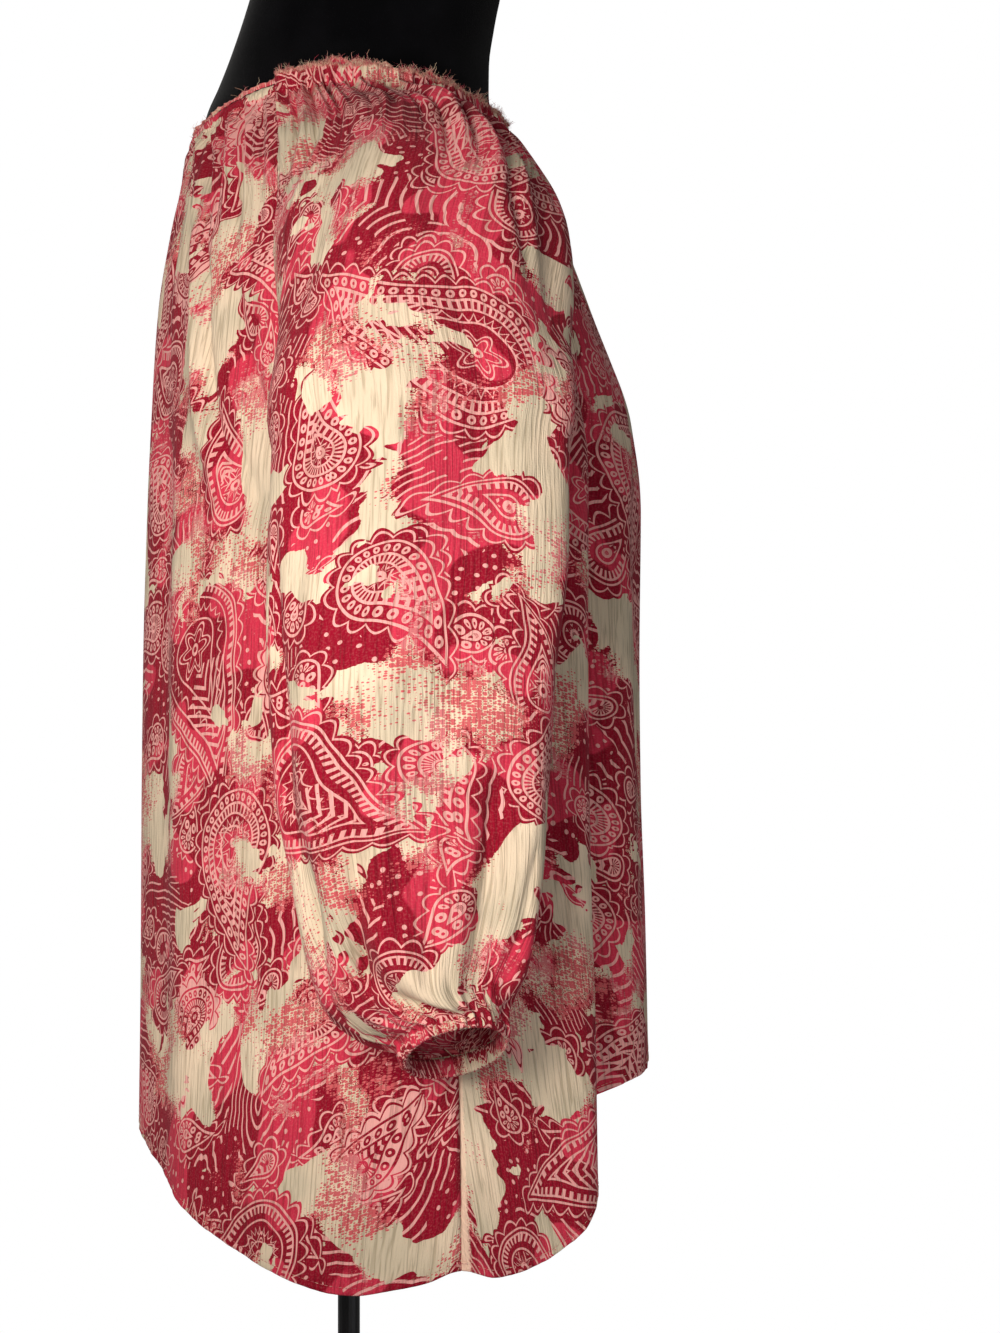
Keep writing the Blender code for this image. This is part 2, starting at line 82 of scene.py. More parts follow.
def addNode(tree, kind, sockets=(), out=0, **settings):
    # adds a node and gives one of its outputs: a second word in kind is its operation, and its sockets, in
    # order or keyed by number or name, take links or values
    kind, _, operation = kind.partition(" ")
    node = tree.nodes.new("ShaderNode" + kind)
    if operation:
        node.operation = operation
    for name, value in settings.items():
        setattr(node, name, value)
    if not isinstance(sockets, dict):
        sockets = dict(enumerate(sockets))
    for key, value in sockets.items():
        if isinstance(value, bpy.types.NodeSocket):
            tree.links.new(value, node.inputs[key])
        else:
            node.inputs[key].default_value = value
    if out is None or not node.outputs:
        return node
    return node.outputs[out]


def newMaterial(name):
    # an empty material, and the function that puts nodes into it
    material = bpy.data.materials.new(name)
    material.use_nodes = True
    material.node_tree.nodes.clear()
    return material, partial(addNode, material.node_tree)


# spot, target, size, watts, colour
lamps = {
    "keyLight": ((-0.98, 0.30, 0.74), (-0.2, 0, 0.62), 0.45, 10.8, (1.0, 0.95, 0.91)),
    "fillLight": ((-1.9, -0.3, 0.5), (0, 0, 0.55), 1.0, 2.6, (1.0, 0.95, 0.94)),
    "lowLight": ((-1.0, -0.8, 0.05), (-0.1, -0.08, 0.30), 0.6, 2.2, (0.90, 0.92, 1.0)),
    "rimLight": ((1.4, 0.9, 1.3), (0, 0, 0.6), 1.2, 8, (1.0, 0.98, 0.95)),
}
studio = {"roomStrength": 0.20, "seenStrength": 1.0, "floorRadius": 0.8, "floorDrop": 0.0005,
          "paperScale": 60.0, "paperTones": (0.84, 0.88), "flagSpot": (-0.60, 0.22, 0.275),
          "flagSize": (0.36, 0.60)}


def makeStudio():
    s = studio
    for name, (spot, target, size, watts, colour) in lamps.items():
        data = bpy.data.lights.new(name, "AREA")
        data.size, data.energy, data.color = size, watts, colour
        lamp = addObject(name, data)
        lamp.location = spot
        lamp.visible_camera = False
        aim(lamp, target)
    # the sheet behind looks white, and lights the room more softly than it looks
    world = bpy.data.worlds.new("studio")
    world.use_nodes = True
    world.node_tree.nodes.clear()
    put = partial(addNode, world.node_tree)
    seen = put("LightPath", out="Is Camera Ray")
    strength = put("MapRange", {0: seen, 3: s["roomStrength"], 4: s["seenStrength"]})
    put("OutputWorld", [put("Background", [(1, 1, 1, 1), strength])])
    scene.world = world
    material, put = newMaterial("white studio floor")
    paper = put("TexNoise", {"Vector": put("TexCoord", out="Object"), "Scale": s["paperScale"]})
    tone = put("MapRange", {0: paper, 3: s["paperTones"][0], 4: s["paperTones"][1]})
    shader = put("BsdfPrincipled", {"Base Color": tone, "Roughness": 0.9})
    put("OutputMaterial", [shader])
    bpy.ops.mesh.primitive_circle_add(vertices=96, radius=s["floorRadius"], fill_type="NGON",
                                      location=(0, 0, -s["floorDrop"]))
    floor = bpy.context.object
    floor.name = "studioFloor"
    floor.data.materials.append(material)
    # a black flag beside the key keeps its light off the hem
    material, put = newMaterial("black flag")
    put("OutputMaterial", [put("BsdfDiffuse", [(0.01, 0.01, 0.01, 1)])])
    bpy.ops.mesh.primitive_plane_add(size=1, location=s["flagSpot"], rotation=(0, math.pi / 2, 0))
    flag = bpy.context.object
    flag.name = "blackFlag"
    flag.scale = (*s["flagSize"], 1)
    flag.visible_camera = False
    flag.data.materials.append(material)
    flag.select_set(False)


makeCamera()
scene.view_settings.view_transform = "Standard"
makeStudio()
print("studio made")


# smooth curves through short tables
def through(table, column, at):
    x, y = table[:, 0].astype(float), table[:, column].astype(float)
    at = np.clip(np.asarray(at, float), x[0], x[-1])
    step, rise = np.diff(x), np.diff(y)
    slope = rise / step
    tangent = np.zeros(len(x))
    same = slope[:-1] * slope[1:] > 0
    w1, w2 = 2 * step[1:] + step[:-1], step[1:] + 2 * step[:-1]
    inner = np.zeros(len(slope) - 1)
    inner[same] = (w1 + w2)[same] / (w1[same] / slope[:-1][same] + w2[same] / slope[1:][same])
    tangent[1:-1] = inner
    tangent[0], tangent[-1] = slope[0], slope[-1]
    i = np.clip(np.searchsorted(x, at, side="right") - 1, 0, len(step) - 1)
    t = (at - x[i]) / step[i]
    return (y[i] * (1 + 2 * t) * (1 - t) ** 2 + step[i] * tangent[i] * t * (1 - t) ** 2
            + y[i + 1] * t * t * (3 - 2 * t) + step[i] * tangent[i + 1] * t * t * (t - 1))


def ease(t):
    t = np.clip(t, 0, 1)
    return t * t * (3 - 2 * t)


def unit(ways):
    return ways / np.linalg.norm(ways, axis=-1, keepdims=True)


def power(value, exponent):
    return np.sign(value) * np.abs(value) ** exponent


# the form of the blouse, the same as its solids
cloth = {"seamGap": 0.0003, "thickness": 0.00045, "underarmHeight": 0.690, "underarmStep": 0.0012,
         "neckSurplus": 0.45, "cuffSurplus": 0.6, "surplusReach": 0.05}

# levels go down the body and stations down the sleeve, both from 0 at the neckline
underarm, hem, wrist = 4, 8, 12
# level: half width, y front, y back, squareness, z front, z side, z back
bodyLevels = np.array([
    (0, 0.098, -0.0920, 0.0930, 2.0, 0.910, 0.927, 0.904),
    (1, 0.146, -0.1225, 0.1020, 2.2, 0.862, 0.870, 0.862),
    (2, 0.165, -0.1465, 0.1110, 2.4, 0.800, 0.812, 0.806),
    (3, 0.174, -0.1665, 0.1150, 2.4, 0.742, 0.750, 0.746),
    (4, 0.178, -0.1716, 0.1180, 2.4, 0.690, 0.690, 0.690),
    (5, 0.180, -0.1712, 0.1200, 2.4, 0.590, 0.590, 0.590),
    (6, 0.182, -0.1722, 0.1205, 2.4, 0.490, 0.490, 0.490),
    (7, 0.185, -0.1750, 0.1205, 2.4, 0.390, 0.390, 0.390),
    (8, 0.190, -0.1765, 0.1210, 2.4, 0.290, 0.290, 0.290),
])
# height of the curved hem: angle from the right side, height
hemLine = np.array([
    (-90, 0.342), (-75, 0.335), (-62, 0.3225), (-50, 0.3075), (-39, 0.293), (-24, 0.2785),
    (-6, 0.2665), (3.5, 0.2725), (10.3, 0.2790), (17, 0.2745), (27, 0.2800), (36, 0.2950),
    (43, 0.316), (54, 0.356), (66, 0.368), (90, 0.3730),
])
raglanSeams = np.array([(0, 55, -25), (1, 49, -23), (2, 44, -20.5), (3, 32, -14), (4, 3, 3)])
sideSeam = np.array([(4, 3), (5, 6), (6, 8.5), (7, 10), (8, 10.3)])
# angle, half width, level where it is full, push there, push at the hem; it grows over foldRise levels
foldRise = 2.6
bodyFolds = [
    (38, 7, 4, 0.009, 0.010), (53, 7, 4, -0.023, -0.021), (73, 7, 5, 0.001, 0.003),
    (88, 6, 5, -0.003, -0.005), (104, 7, 5, 0.001, 0.003),
    (127, 7, 4, -0.018, -0.019), (142, 7, 4, 0.007, 0.008),
    (-30, 7, 4, -0.003, -0.004), (-46, 7, 4, 0.002, 0.001), (-60, 6, 3, -0.004, -0.0005),
    (-76, 7, 3, 0.001, 0.003), (-92, 6, 3, -0.004, -0.006), (-106, 7, 4, 0.001, 0.003),
    (-122, 6, 4, -0.004, -0.006), (-137, 7, 4, 0.002, 0.004), (-151, 7, 4, -0.003, -0.004),
    (24, 6, 6, 0.001, 0.003), (158, 6, 6, 0.001, 0.004),
]
# station: centre x, y, z, reach, rise, half width, front rise, edges
sleeveStations = np.array([
    (0, 0.0000, 0.0005, 0.9260, 0.0980, 0.0000, 0.0925, 0.000, 25, 55),
    (1, -0.0950, -0.0340, 0.8660, 0.0620, 0.0400, 0.0850, 0.000, 60, 86),
    (2, -0.1570, -0.0455, 0.8240, 0.0480, 0.0440, 0.0830, 0.000, 100, 110),
    (3, -0.1950, -0.0435, 0.7690, 0.0450, 0.0390, 0.0768, 0.000, 130, 120),
    (4, -0.2200, -0.0405, 0.7120, 0.0400, 0.0225, 0.0766, 0.000, 180, 180),
    (5, -0.2290, -0.0390, 0.6525, 0.0370, 0.0125, 0.0775, 0.000, 180, 180),
    (6, -0.2340, -0.0360, 0.5925, 0.0350, 0.0075, 0.0742, 0.000, 180, 180),
    (7, -0.2350, -0.0362, 0.5350, 0.0345, 0.0050, 0.0705, 0.000, 180, 180),
    (8, -0.2350, -0.0390, 0.4900, 0.0345, 0.0060, 0.0648, 0.001, 180, 180),
    (9, -0.2345, -0.0402, 0.4520, 0.0350, 0.0080, 0.0585, 0.003, 180, 180),
    (10, -0.2330, -0.0420, 0.4285, 0.0350, 0.0105, 0.0505, 0.006, 180, 180),
    (11, -0.2315, -0.0487, 0.4150, 0.0335, 0.0125, 0.0375, 0.008, 180, 180),
    (12, -0.2305, -0.0572, 0.4090, 0.0315, 0.0135, 0.0265, 0.0055, 180, 180),
])
# angle and station of one end, of the other end, half width across, push
sleeveFolds = [
    (-72, 5.5, -62, 9.2, 13, -0.006), (-48, 5.5, -42, 9.0, 12, 0.004),
    (-40, 8.6, -6, 11.5, 11, -0.008), (-16, 8.8, 12, 11.4, 11, 0.005),
    (40, 7.0, 36, 11.2, 11, -0.006), (62, 6.6, 66, 10.8, 11, 0.005),
    (28, 0.3, 62, 3.2, 9, -0.005), (14, 0.3, 38, 3.0, 9, 0.004),
    (-16, 0.3, -56, 3.0, 9, -0.004), (4, 0.3, 6, 2.8, 9, -0.003), (-6, 0.3, -26, 2.8, 9, 0.002),
    (74, 2.6, 66, 6.0, 13, 0.004), (22, 3.6, 14, 7.4, 15, -0.004), (-12, 4.0, -16, 7.6, 16, 0.003),
]


def hemHeight(angle):
    a = (np.asarray(angle, float) + 180) % 360 - 180
    a = np.where(a > 90, 180 - a, np.where(a < -90, -180 - a, a))
    return through(hemLine, 1, a)


def torso(level, angle):
    level, angle = np.broadcast_arrays(np.asarray(level, float), np.asarray(angle, float))
    half, front, back, square, zFront, zSide, zBack = (through(bodyLevels, c, level) for c in range(1, 8))
    c, s = np.cos(np.radians(angle)), np.sin(np.radians(angle))
    x = -half * power(c, 2 / square)
    y = (front + back) / 2 - (back - front) / 2 * power(s, 2 / square)
    z = zSide + np.where(s > 0, zFront - zSide, zBack - zSide) * s * s
    down = np.clip((level - underarm) / (hem - underarm), 0, 1)
    top = cloth["underarmHeight"]
    z = np.where(level > underarm, top + (hemHeight(angle) - top) * down, z)
    return np.stack([x, y, z], axis=-1)


def torsoFolds(level, angle):
    a = (np.asarray(angle, float) + 200) % 360 - 200
    total = np.zeros(np.broadcast(level, a).shape)
    for centre, half, full, push, atHem in bodyFolds:
        grown = ease((level - (full - foldRise)) / foldRise)
        size = push + (atHem - push) * np.clip((level - full) / (hem - full), 0, 1)
        total += size * grown * np.exp(-(((a - centre) / half) ** 2))
    return total


def seamAngle(level, column):
    return np.where(level < underarm, through(raglanSeams, column, level), through(sideSeam, 1, level))


def sleevePoint(station, angle):
    cx, cy, cz, reach, rise, half, frontRise = (through(sleeveStations, c, station) for c in range(1, 8))
    c, s = np.cos(np.radians(angle)), np.sin(np.radians(angle))
    return np.stack([cx - reach * c, cy - half * s, cz + rise * c + frontRise * s], axis=-1)


def foldsOfSleeve(station, angle):
    total = np.zeros(np.broadcast(station, angle).shape)
    for a0, s0, a1, s1, half, push in sleeveFolds:
        t = (station - s0) / (s1 - s0)
        centre = a0 + (a1 - a0) * np.clip(t, 0, 1)
        along = ease((t + 0.25) / 0.5) * ease((1.25 - t) / 0.5)
        total += push * along * np.exp(-(((angle - centre) / half) ** 2))
    return total


# how the cloth falls: folds, gathers and single creases
def outward(points, middle):
    n = unit(np.cross(np.gradient(points, axis=1), np.gradient(points, axis=0)))
    return -n if float((n * (points - middle)).sum()) < 0 else n


def wander(share, seed, pace):
    # a smooth uneven value from -1 to 1 along an edge
    return sum(size * np.sin(2 * math.pi * (share * pace * quick + seed * late))
               for size, quick, late in ((0.5, 1, 0.37), (0.3, 2.3, 0.71), (0.2, 4.1, 1)))


# how gathers look: how unevenly they are spaced, how they sway below the straight stretch at their root,
# how sharp their valleys are and how far they sink in, how much each one's height and reach differ
gather = {"uneven": 0.9, "sway": 0.8, "swayPace": 24, "straight": 0.05, "valley": 1.4, "sink": 0.2,
          "heights": (0.62, 0.38), "reaches": (0.75, 0.45)}


def gatherSet(share, run, count, height, reach, seed):
    # narrow valleys and round tops that stand out from the cloth, each with its own size and reach
    g = gather
    phase = math.pi * (count * share + g["uneven"] * wander(share, seed, 2.7))
    sway = np.sin(run * g["swayPace"] + 3 * seed + 11 * share)
    phase = phase + g["sway"] * sway * ease(run / g["straight"])
    wave = 1 - np.abs(np.cos(phase)) ** g["valley"]
    own = g["heights"][0] + g["heights"][1] * wander(share, seed + 2.3, count / 3.1)
    far = reach * (g["reaches"][0] + g["reaches"][1] * wander(share, seed + 5.1, count / 2.7))
    return 2 * height * own * (wave - g["sink"]) * np.exp(-((run / far) ** 1.5))


def addGathers(push, share, run, sets, seed, nearSeam, squeeze=0.0):
    # squeeze draws the cloth in as well, by a share of each set's height
    for k, (count, height, reach) in enumerate(sets):
        drawn = squeeze * height * np.exp(-((run / reach) ** 2))
        push = push + (gatherSet(share, run, count, height, reach, seed + k) - drawn) * nearSeam
    return push


def crease(share, run, line, half, push):
    # one listed crease: run and share of its points, half width in share, push
    line = np.array(line, float)
    centre = np.interp(run, line[:, 0], line[:, 1])
    t = (run - line[0, 0]) / (line[-1, 0] - line[0, 0])
    along = ease((t + 0.35 * (line[0, 0] == 0)) / 0.25) * ease((1 - t) / 0.4)
    return push * along * np.exp(-np.abs((share - centre) / half) ** 1.4)


def addCreases(push, base, share, run, creases):
    # creases laid one by one, then the pucker beside the seams
    for line, half, deep in creases:
        push = push + crease(share, run, line, half, deep)
    fromEdge = np.minimum(share, 1 - share)
    return push + seamPush(fromEdge * widths(base)[:, None], base[..., 2], run)


def drawIn(points, distance):
    out = points.copy()
    for edge, inside in ((0, 1), (-1, -2)):
        out[:, edge] += unit(points[:, inside] - points[:, edge]) * distance
    return out


def runs(points):
    # distance down each column from the first row
    steps = np.linalg.norm(np.diff(points, axis=0), axis=-1)
    return np.concatenate([np.zeros((1, points.shape[1])), np.cumsum(steps, axis=0)])


def widths(points):
    return np.linalg.norm(np.diff(points, axis=1), axis=-1).sum(axis=1)


def clothPlaces(base, share, above, below, shift, surplus):
    # where each point lies on the flat cloth: measured on the smooth form, with more cloth where it is
    # gathered in; above and below are the length and the rows carried past the two ends
    long = runs(base)
    wide = widths(base)
    window = 9
    pad = np.pad(wide, window // 2, mode="edge")
    wide = np.convolve(pad, np.ones(window) / window, mode="valid")
    fromTop = long.mean(axis=1)
    fromEnd = fromTop[-1] - fromTop
    reach = cloth["surplusReach"]
    atTop, atEnd = np.exp(-((fromTop / reach) ** 2)), np.exp(-((fromEnd / reach) ** 2))
    wide = wide * (1 + surplus[0] * atTop + surplus[1] * atEnd)
    rising = -np.linspace(above[0], above[0] / above[1], above[1])[:, None] + long[:1]
    long = np.concatenate([rising, long])
    wide = np.concatenate([np.repeat(wide[:1], above[1]), wide])
    if below[1]:
        falling = np.linspace(below[0] / below[1], below[0], below[1])[:, None] + long[-1:]
        long = np.concatenate([long, falling])
        wide = np.concatenate([wide, np.repeat(wide[-1:], below[1])])
    v = shift[1] + 1.0 - long
    return np.stack([shift[0] + (share - 0.5) * wide[:, None] + 0 * v, v], axis=-1)


# the painted highlight strip beside the side seam: its width at three heights, its top, and a width count
# that is off it
paintedHighlightStrip = {"heights": (0.27, 0.33, 0.42), "widths": (0.0052, 0.0027, 0.0011), "top": 0.46, "farOff": 9.0}


def edgeFar(down, points=None):
    # metres down from the raw edge, and how many strip widths from the side seam; the strip is a painted
    # highlight where the allowance behind the seam lifts the cloth into the light, and it widens towards the
    # hem
    s = paintedHighlightStrip
    if points is None:
        return np.stack([down, np.full(down.shape, s["farOff"])], axis=-1)
    across = runs(points.transpose(1, 0, 2)).T
    under = len(seam["steps"])
    aside = np.minimum(across - across[:, under, None], across[:, -under - 1, None] - across)
    height = points[..., 2]
    aside = aside / np.interp(height, s["heights"], s["widths"])
    return np.stack([down, np.where(height > s["top"], s["farOff"], aside)], axis=-1)


def makeSheet(name, points, uv, material, middle, ring=False, raw=None):
    # rows and columns of points become a thin shell; middle is what its outer face looks away from, and
    # raw holds how far each point lies from a raw edge and from the painted highlight strip beside a seam
    rows, columns = points.shape[:2]
    i, j = np.meshgrid(np.arange(rows - 1), np.arange(columns if ring else columns - 1), indexing="ij")
    k = (j + 1) % columns
    here, below = i * columns, (i + 1) * columns
    faces = np.stack([here + j, here + k, below + k, below + j], axis=-1)
    normal = np.cross(points[1:, :-1] - points[:-1, :-1], points[:-1, 1:] - points[:-1, :-1])
    away = points - middle
    order = -1 if float((normal * away[:-1, :-1]).sum()) > 0 else 1
    mesh = bpy.data.meshes.new(name)
    mesh.from_pydata(points.reshape(-1, 3).tolist(), [], faces.reshape(-1, 4)[:, ::order].tolist())
    maps = {"cloth": uv}
    if raw is not None:
        maps["raw"] = raw
    for title, flat in maps.items():
        corners = np.stack([flat[i, j], flat[i, j + 1], flat[i + 1, j + 1], flat[i + 1, j]], axis=2)
        corners = corners.reshape(-1, 4, 2)[:, ::order]
        mesh.uv_layers.new(name=title).data.foreach_set("uv", corners.reshape(-1).astype(np.float32))
    mesh.materials.append(material)
    mesh.shade_smooth()
    piece = addObject(name, mesh)
    shell = piece.modifiers.new("shell", "SOLIDIFY")
    shell.thickness = cloth["thickness"]
    shell.offset = -1
    bpy.ops.object.select_all(action="DESELECT")
    bpy.context.view_layer.objects.active = piece
    piece.select_set(True)
    bpy.ops.object.modifier_apply(modifier=shell.name)
    piece.select_set(False)
    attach(piece, "root")
    return piece


# Polyester chiffon with a crushed crinkle: matt, soft, lets some light through. The print is a broken
# paisley in crimson on cream: sizes are in millimetres on the flat cloth, and the teardrop's tail, tip,
# bend and lift are in radii of its head, which is a share of the spacing.
motif = {
    "headShare": 0.235, "headChange": (0.82, 1.12), "tail": 2.1, "tipRadius": 0.12, "bend": 0.2, "lift": 0.6,
    "petalPitch": 8.0, "petalHeight": 3.2, "rim": -1.7, "line": 0.48, "plainShare": 0.42,
    "dotPitch": 2.5, "dotDepth": 4.95, "dotRadius": 1.15, "dotLine": 0.55, "ladderPitch": 1.7, "rung": 0.8,
    "archPitch": 7.0, "archHeight": 3.2, "archDepth": 12.8,
    "leaves": 6.0, "leafLong": 2.4, "flowerRadius": 6.0, "secondRing": 2.8, "secondLine": 0.5,
    "eyeRadius": 1.7, "eyeLine": 0.6, "flowerDepth": -11.0,
    "veinWay": (0.9, 1.0, 0), "veinPitch": 2.3, "veinLine": 0.75, "veinFrom": 0.25, "veinDepth": -9.5,
}
# where each band begins, counted inwards from the outline
bare, lined, dotted, laddered = (0, 0, 0), (1, 0, 0), (0, 1, 0), (0, 0, 1)
bandsRich = [(-34, bare), (-17.3, lined), (-16.4, bare), (-12.0, lined), (-11.1, laddered), (-8.2, lined),
             (-7.2, dotted), (-2.8, lined), (-1.8, bare)]
bandsPlain = [(-34, bare), (-20.3, lined), (-19.4, bare), (-10.5, lined), (-9.6, bare), (-7.4, laddered),
              (-4.6, lined), (-3.7, bare), (-2.6, lined), (-1.7, bare)]
bandSpan = (-34.0, 8.0)

inColour = {"out": 2, "data_type": "RGBA"}
perMetre = 1000.0  # millimetres in a metre


def setStops(ramp, stops):
    # hard steps from colour to colour
    ramp.interpolation = "CONSTANT"
    while len(ramp.elements) > 1:
        ramp.elements.remove(ramp.elements[-1])
    for k, (spot, colour) in enumerate(stops):
        stop = ramp.elements.new(spot) if k else ramp.elements[0]
        stop.position = spot
        stop.color = colour


def bandRamp(put, depth, bands):
    start, end = bandSpan
    share = put("MapRange", [depth, start, end])
    node = put("ValToRGB", [share], out=None)
    setStops(node.color_ramp, [((at - start) / (end - start), (*colour, 1)) for at, colour in bands])
    return put("SeparateColor", [node.outputs[0]], out=None).outputs


def paisleyGroup():
    # one teardrop motif in each cell of a loose grid, each turned its own way
    tree = bpy.data.node_groups.new("paisley", "ShaderNodeTree")
    put = partial(addNode, tree)
    for name, kind in (("Place", "Vector"), ("Spacing", "Float"), ("Shift", "Vector")):
        tree.interface.new_socket(name, in_out="INPUT", socket_type="NodeSocket" + kind)
    for name in ("Body", "Line", "Depth", "Own"):
        tree.interface.new_socket(name, in_out="OUTPUT", socket_type="NodeSocketFloat")
    given = tree.nodes.new("NodeGroupInput").outputs
    result = tree.nodes.new("NodeGroupOutput").inputs
    m = motif
    place = put("VectorMath ADD", [given["Place"], given["Shift"]])
    density = put("Math DIVIDE", [1.0, given["Spacing"]])
    cells = put("TexVoronoi", {"Vector": place, "Scale": density, "Randomness": 0.8}, out=None,
                voronoi_dimensions="2D").outputs
    own = put("SeparateColor", [cells["Color"]], out=None).outputs
    fromMiddle = put("VectorMath SUBTRACT", [place, cells["Position"]])
    turn = put("Math MULTIPLY", [own[0], 2 * math.pi])
    turned = put("VectorRotate", {"Vector": fromMiddle, "Angle": turn}, rotation_type="Z_AXIS")
    small, large = (m["headShare"] * change for change in m["headChange"])
    size = put("MapRange", {0: own[2], 3: small, 4: large})
    head = put("Math MULTIPLY", [given["Spacing"], size])
    scaled = put("VectorMath SCALE", {0: turned, 3: put("Math DIVIDE", [1.0, head])})
    axes = put("SeparateXYZ", [scaled], out=None).outputs
    hand = put("Math GREATER_THAN", [own[1], 0.5])
    hand = put("Math MULTIPLY_ADD", [hand, 2.0, -1.0])
    y = put("Math ADD", [axes[1], m["lift"]])
    x = put("Math MULTIPLY", [axes[0], hand])
    tailward = put("Math POWER", [put("Math MAXIMUM", [y, 0.0]), 2.0])
    x = put("Math MULTIPLY_ADD", [tailward, -m["bend"], x])
    aside = put("Math ABSOLUTE", [x])
    spot = put("CombineXYZ", [aside, y])
    # a round head and a small tip joined by straight sides, as a true distance
    lean = (1 - m["tipRadius"]) / m["tail"]
    upright = math.sqrt(1 - lean * lean)
    along = put("VectorMath DOT_PRODUCT", [spot, (-lean, upright, 0)], out=1)
    side = put("VectorMath DOT_PRODUCT", [spot, (upright, lean, 0)], out=1)
    side = put("Math SUBTRACT", [side, 1.0])
    radius = put("VectorMath LENGTH", [spot], out=1)
    roundHead = put("Math SUBTRACT", [radius, 1.0])
    roundTip = put("VectorMath DISTANCE", [spot, (0, m["tail"], 0)], out=1)
    roundTip = put("Math SUBTRACT", [roundTip, m["tipRadius"]])
    onSide = put("Math GREATER_THAN", [along, 0.0])
    onTip = put("Math GREATER_THAN", [along, upright * m["tail"]])
    depth = put("Mix", {0: onSide, 2: roundHead, 3: side})
    depth = put("Mix", {0: onTip, 2: depth, 3: roundTip})
    angle = put("Math ARCTAN2", [aside, y])
    arc = put("Math SUBTRACT", [math.atan2(upright, lean), angle])
    walk = put("Mix", {0: onSide, 2: arc, 3: along})
    depth, walk, radius = (put("Math MULTIPLY", [share, head]) for share in (depth, walk, radius))
    # petals all round the outline, and arches that stand on the third line
    waves = []
    for pitch in (m["petalPitch"], m["archPitch"]):
        wave = put("Math SINE", [put("Math MULTIPLY", [walk, math.pi / pitch])])
        waves.append(put("Math ABSOLUTE", [wave]))
    petal = put("Math MULTIPLY_ADD", [waves[0], m["petalHeight"], 1.0])
    beyond = put("Math SUBTRACT", [depth, petal])
    body = put("Math LESS_THAN", [beyond, 0.0])
    rim = put("Math COMPARE", [beyond, m["rim"], m["line"]])
    echo = put("Math MULTIPLY_ADD", [petal, -0.3, depth])
    arch = put("Math MULTIPLY_ADD", [waves[1], m["archHeight"], m["archDepth"]])
    arch = put("Math COMPARE", [put("Math ADD", [depth, arch]), 0.0, m["line"]])
    # bands, dots and ladder
    rich, plain = (bandRamp(put, depth, bands) for bands in (bandsRich, bandsPlain))
    which = put("Math GREATER_THAN", [own[1], m["plainShare"]])
    line, dots, ladder = (put("Mix", {0: which, 2: plain[k], 3: rich[k]}) for k in range(3))
    beat = put("Math PINGPONG", [walk, m["dotPitch"]])
    beat = put("Math SUBTRACT", [m["dotPitch"], beat])
    inBand = put("Math ADD", [depth, m["dotDepth"]])
    dot = put("VectorMath LENGTH", [put("CombineXYZ", [beat, inBand])], out=1)
    dot = put("Math COMPARE", [dot, m["dotRadius"], m["dotLine"]])
    dot = put("Math MULTIPLY", [dot, dots])
    rung = put("Math LESS_THAN", [put("Math PINGPONG", [walk, m["ladderPitch"]]), m["rung"]])
    rung = put("Math MULTIPLY", [rung, ladder])
    # a flower in the head and veins in the tail
    leaf = put("Math COSINE", [put("Math MULTIPLY", [angle, m["leaves"]])])
    leaf = put("Math MULTIPLY_ADD", [leaf, m["leafLong"], m["flowerRadius"]])
    flower = put("Math COMPARE", [radius, leaf, m["line"]])
    second = put("Math COMPARE", [radius, put("Math ADD", [leaf, m["secondRing"]]), m["secondLine"]])
    eye = put("Math COMPARE", [radius, m["eyeRadius"], m["eyeLine"]])
    flower = put("Math MAXIMUM", [put("Math MAXIMUM", [flower, second]), eye])
    core = put("Math LESS_THAN", [depth, m["flowerDepth"]])
    flower = put("Math MULTIPLY", [flower, core])
    vein = put("VectorMath DOT_PRODUCT", [spot, m["veinWay"]], out=1)
    vein = put("Math PINGPONG", [put("Math MULTIPLY", [vein, head]), m["veinPitch"]])
    vein = put("Math LESS_THAN", [vein, m["veinLine"]])
    inTail = put("Math GREATER_THAN", [along, m["veinFrom"]])
    deep = put("Math LESS_THAN", [depth, m["veinDepth"]])
    vein = put("Math MULTIPLY", [put("Math MULTIPLY", [vein, inTail]), deep])
    for other in (rim, dot, rung, arch, flower, vein):
        line = put("Math MAXIMUM", [line, other])
    for name, value in (("Body", body), ("Line", line), ("Depth", echo), ("Own", own[1])):
        tree.links.new(value, result[name])
    return tree


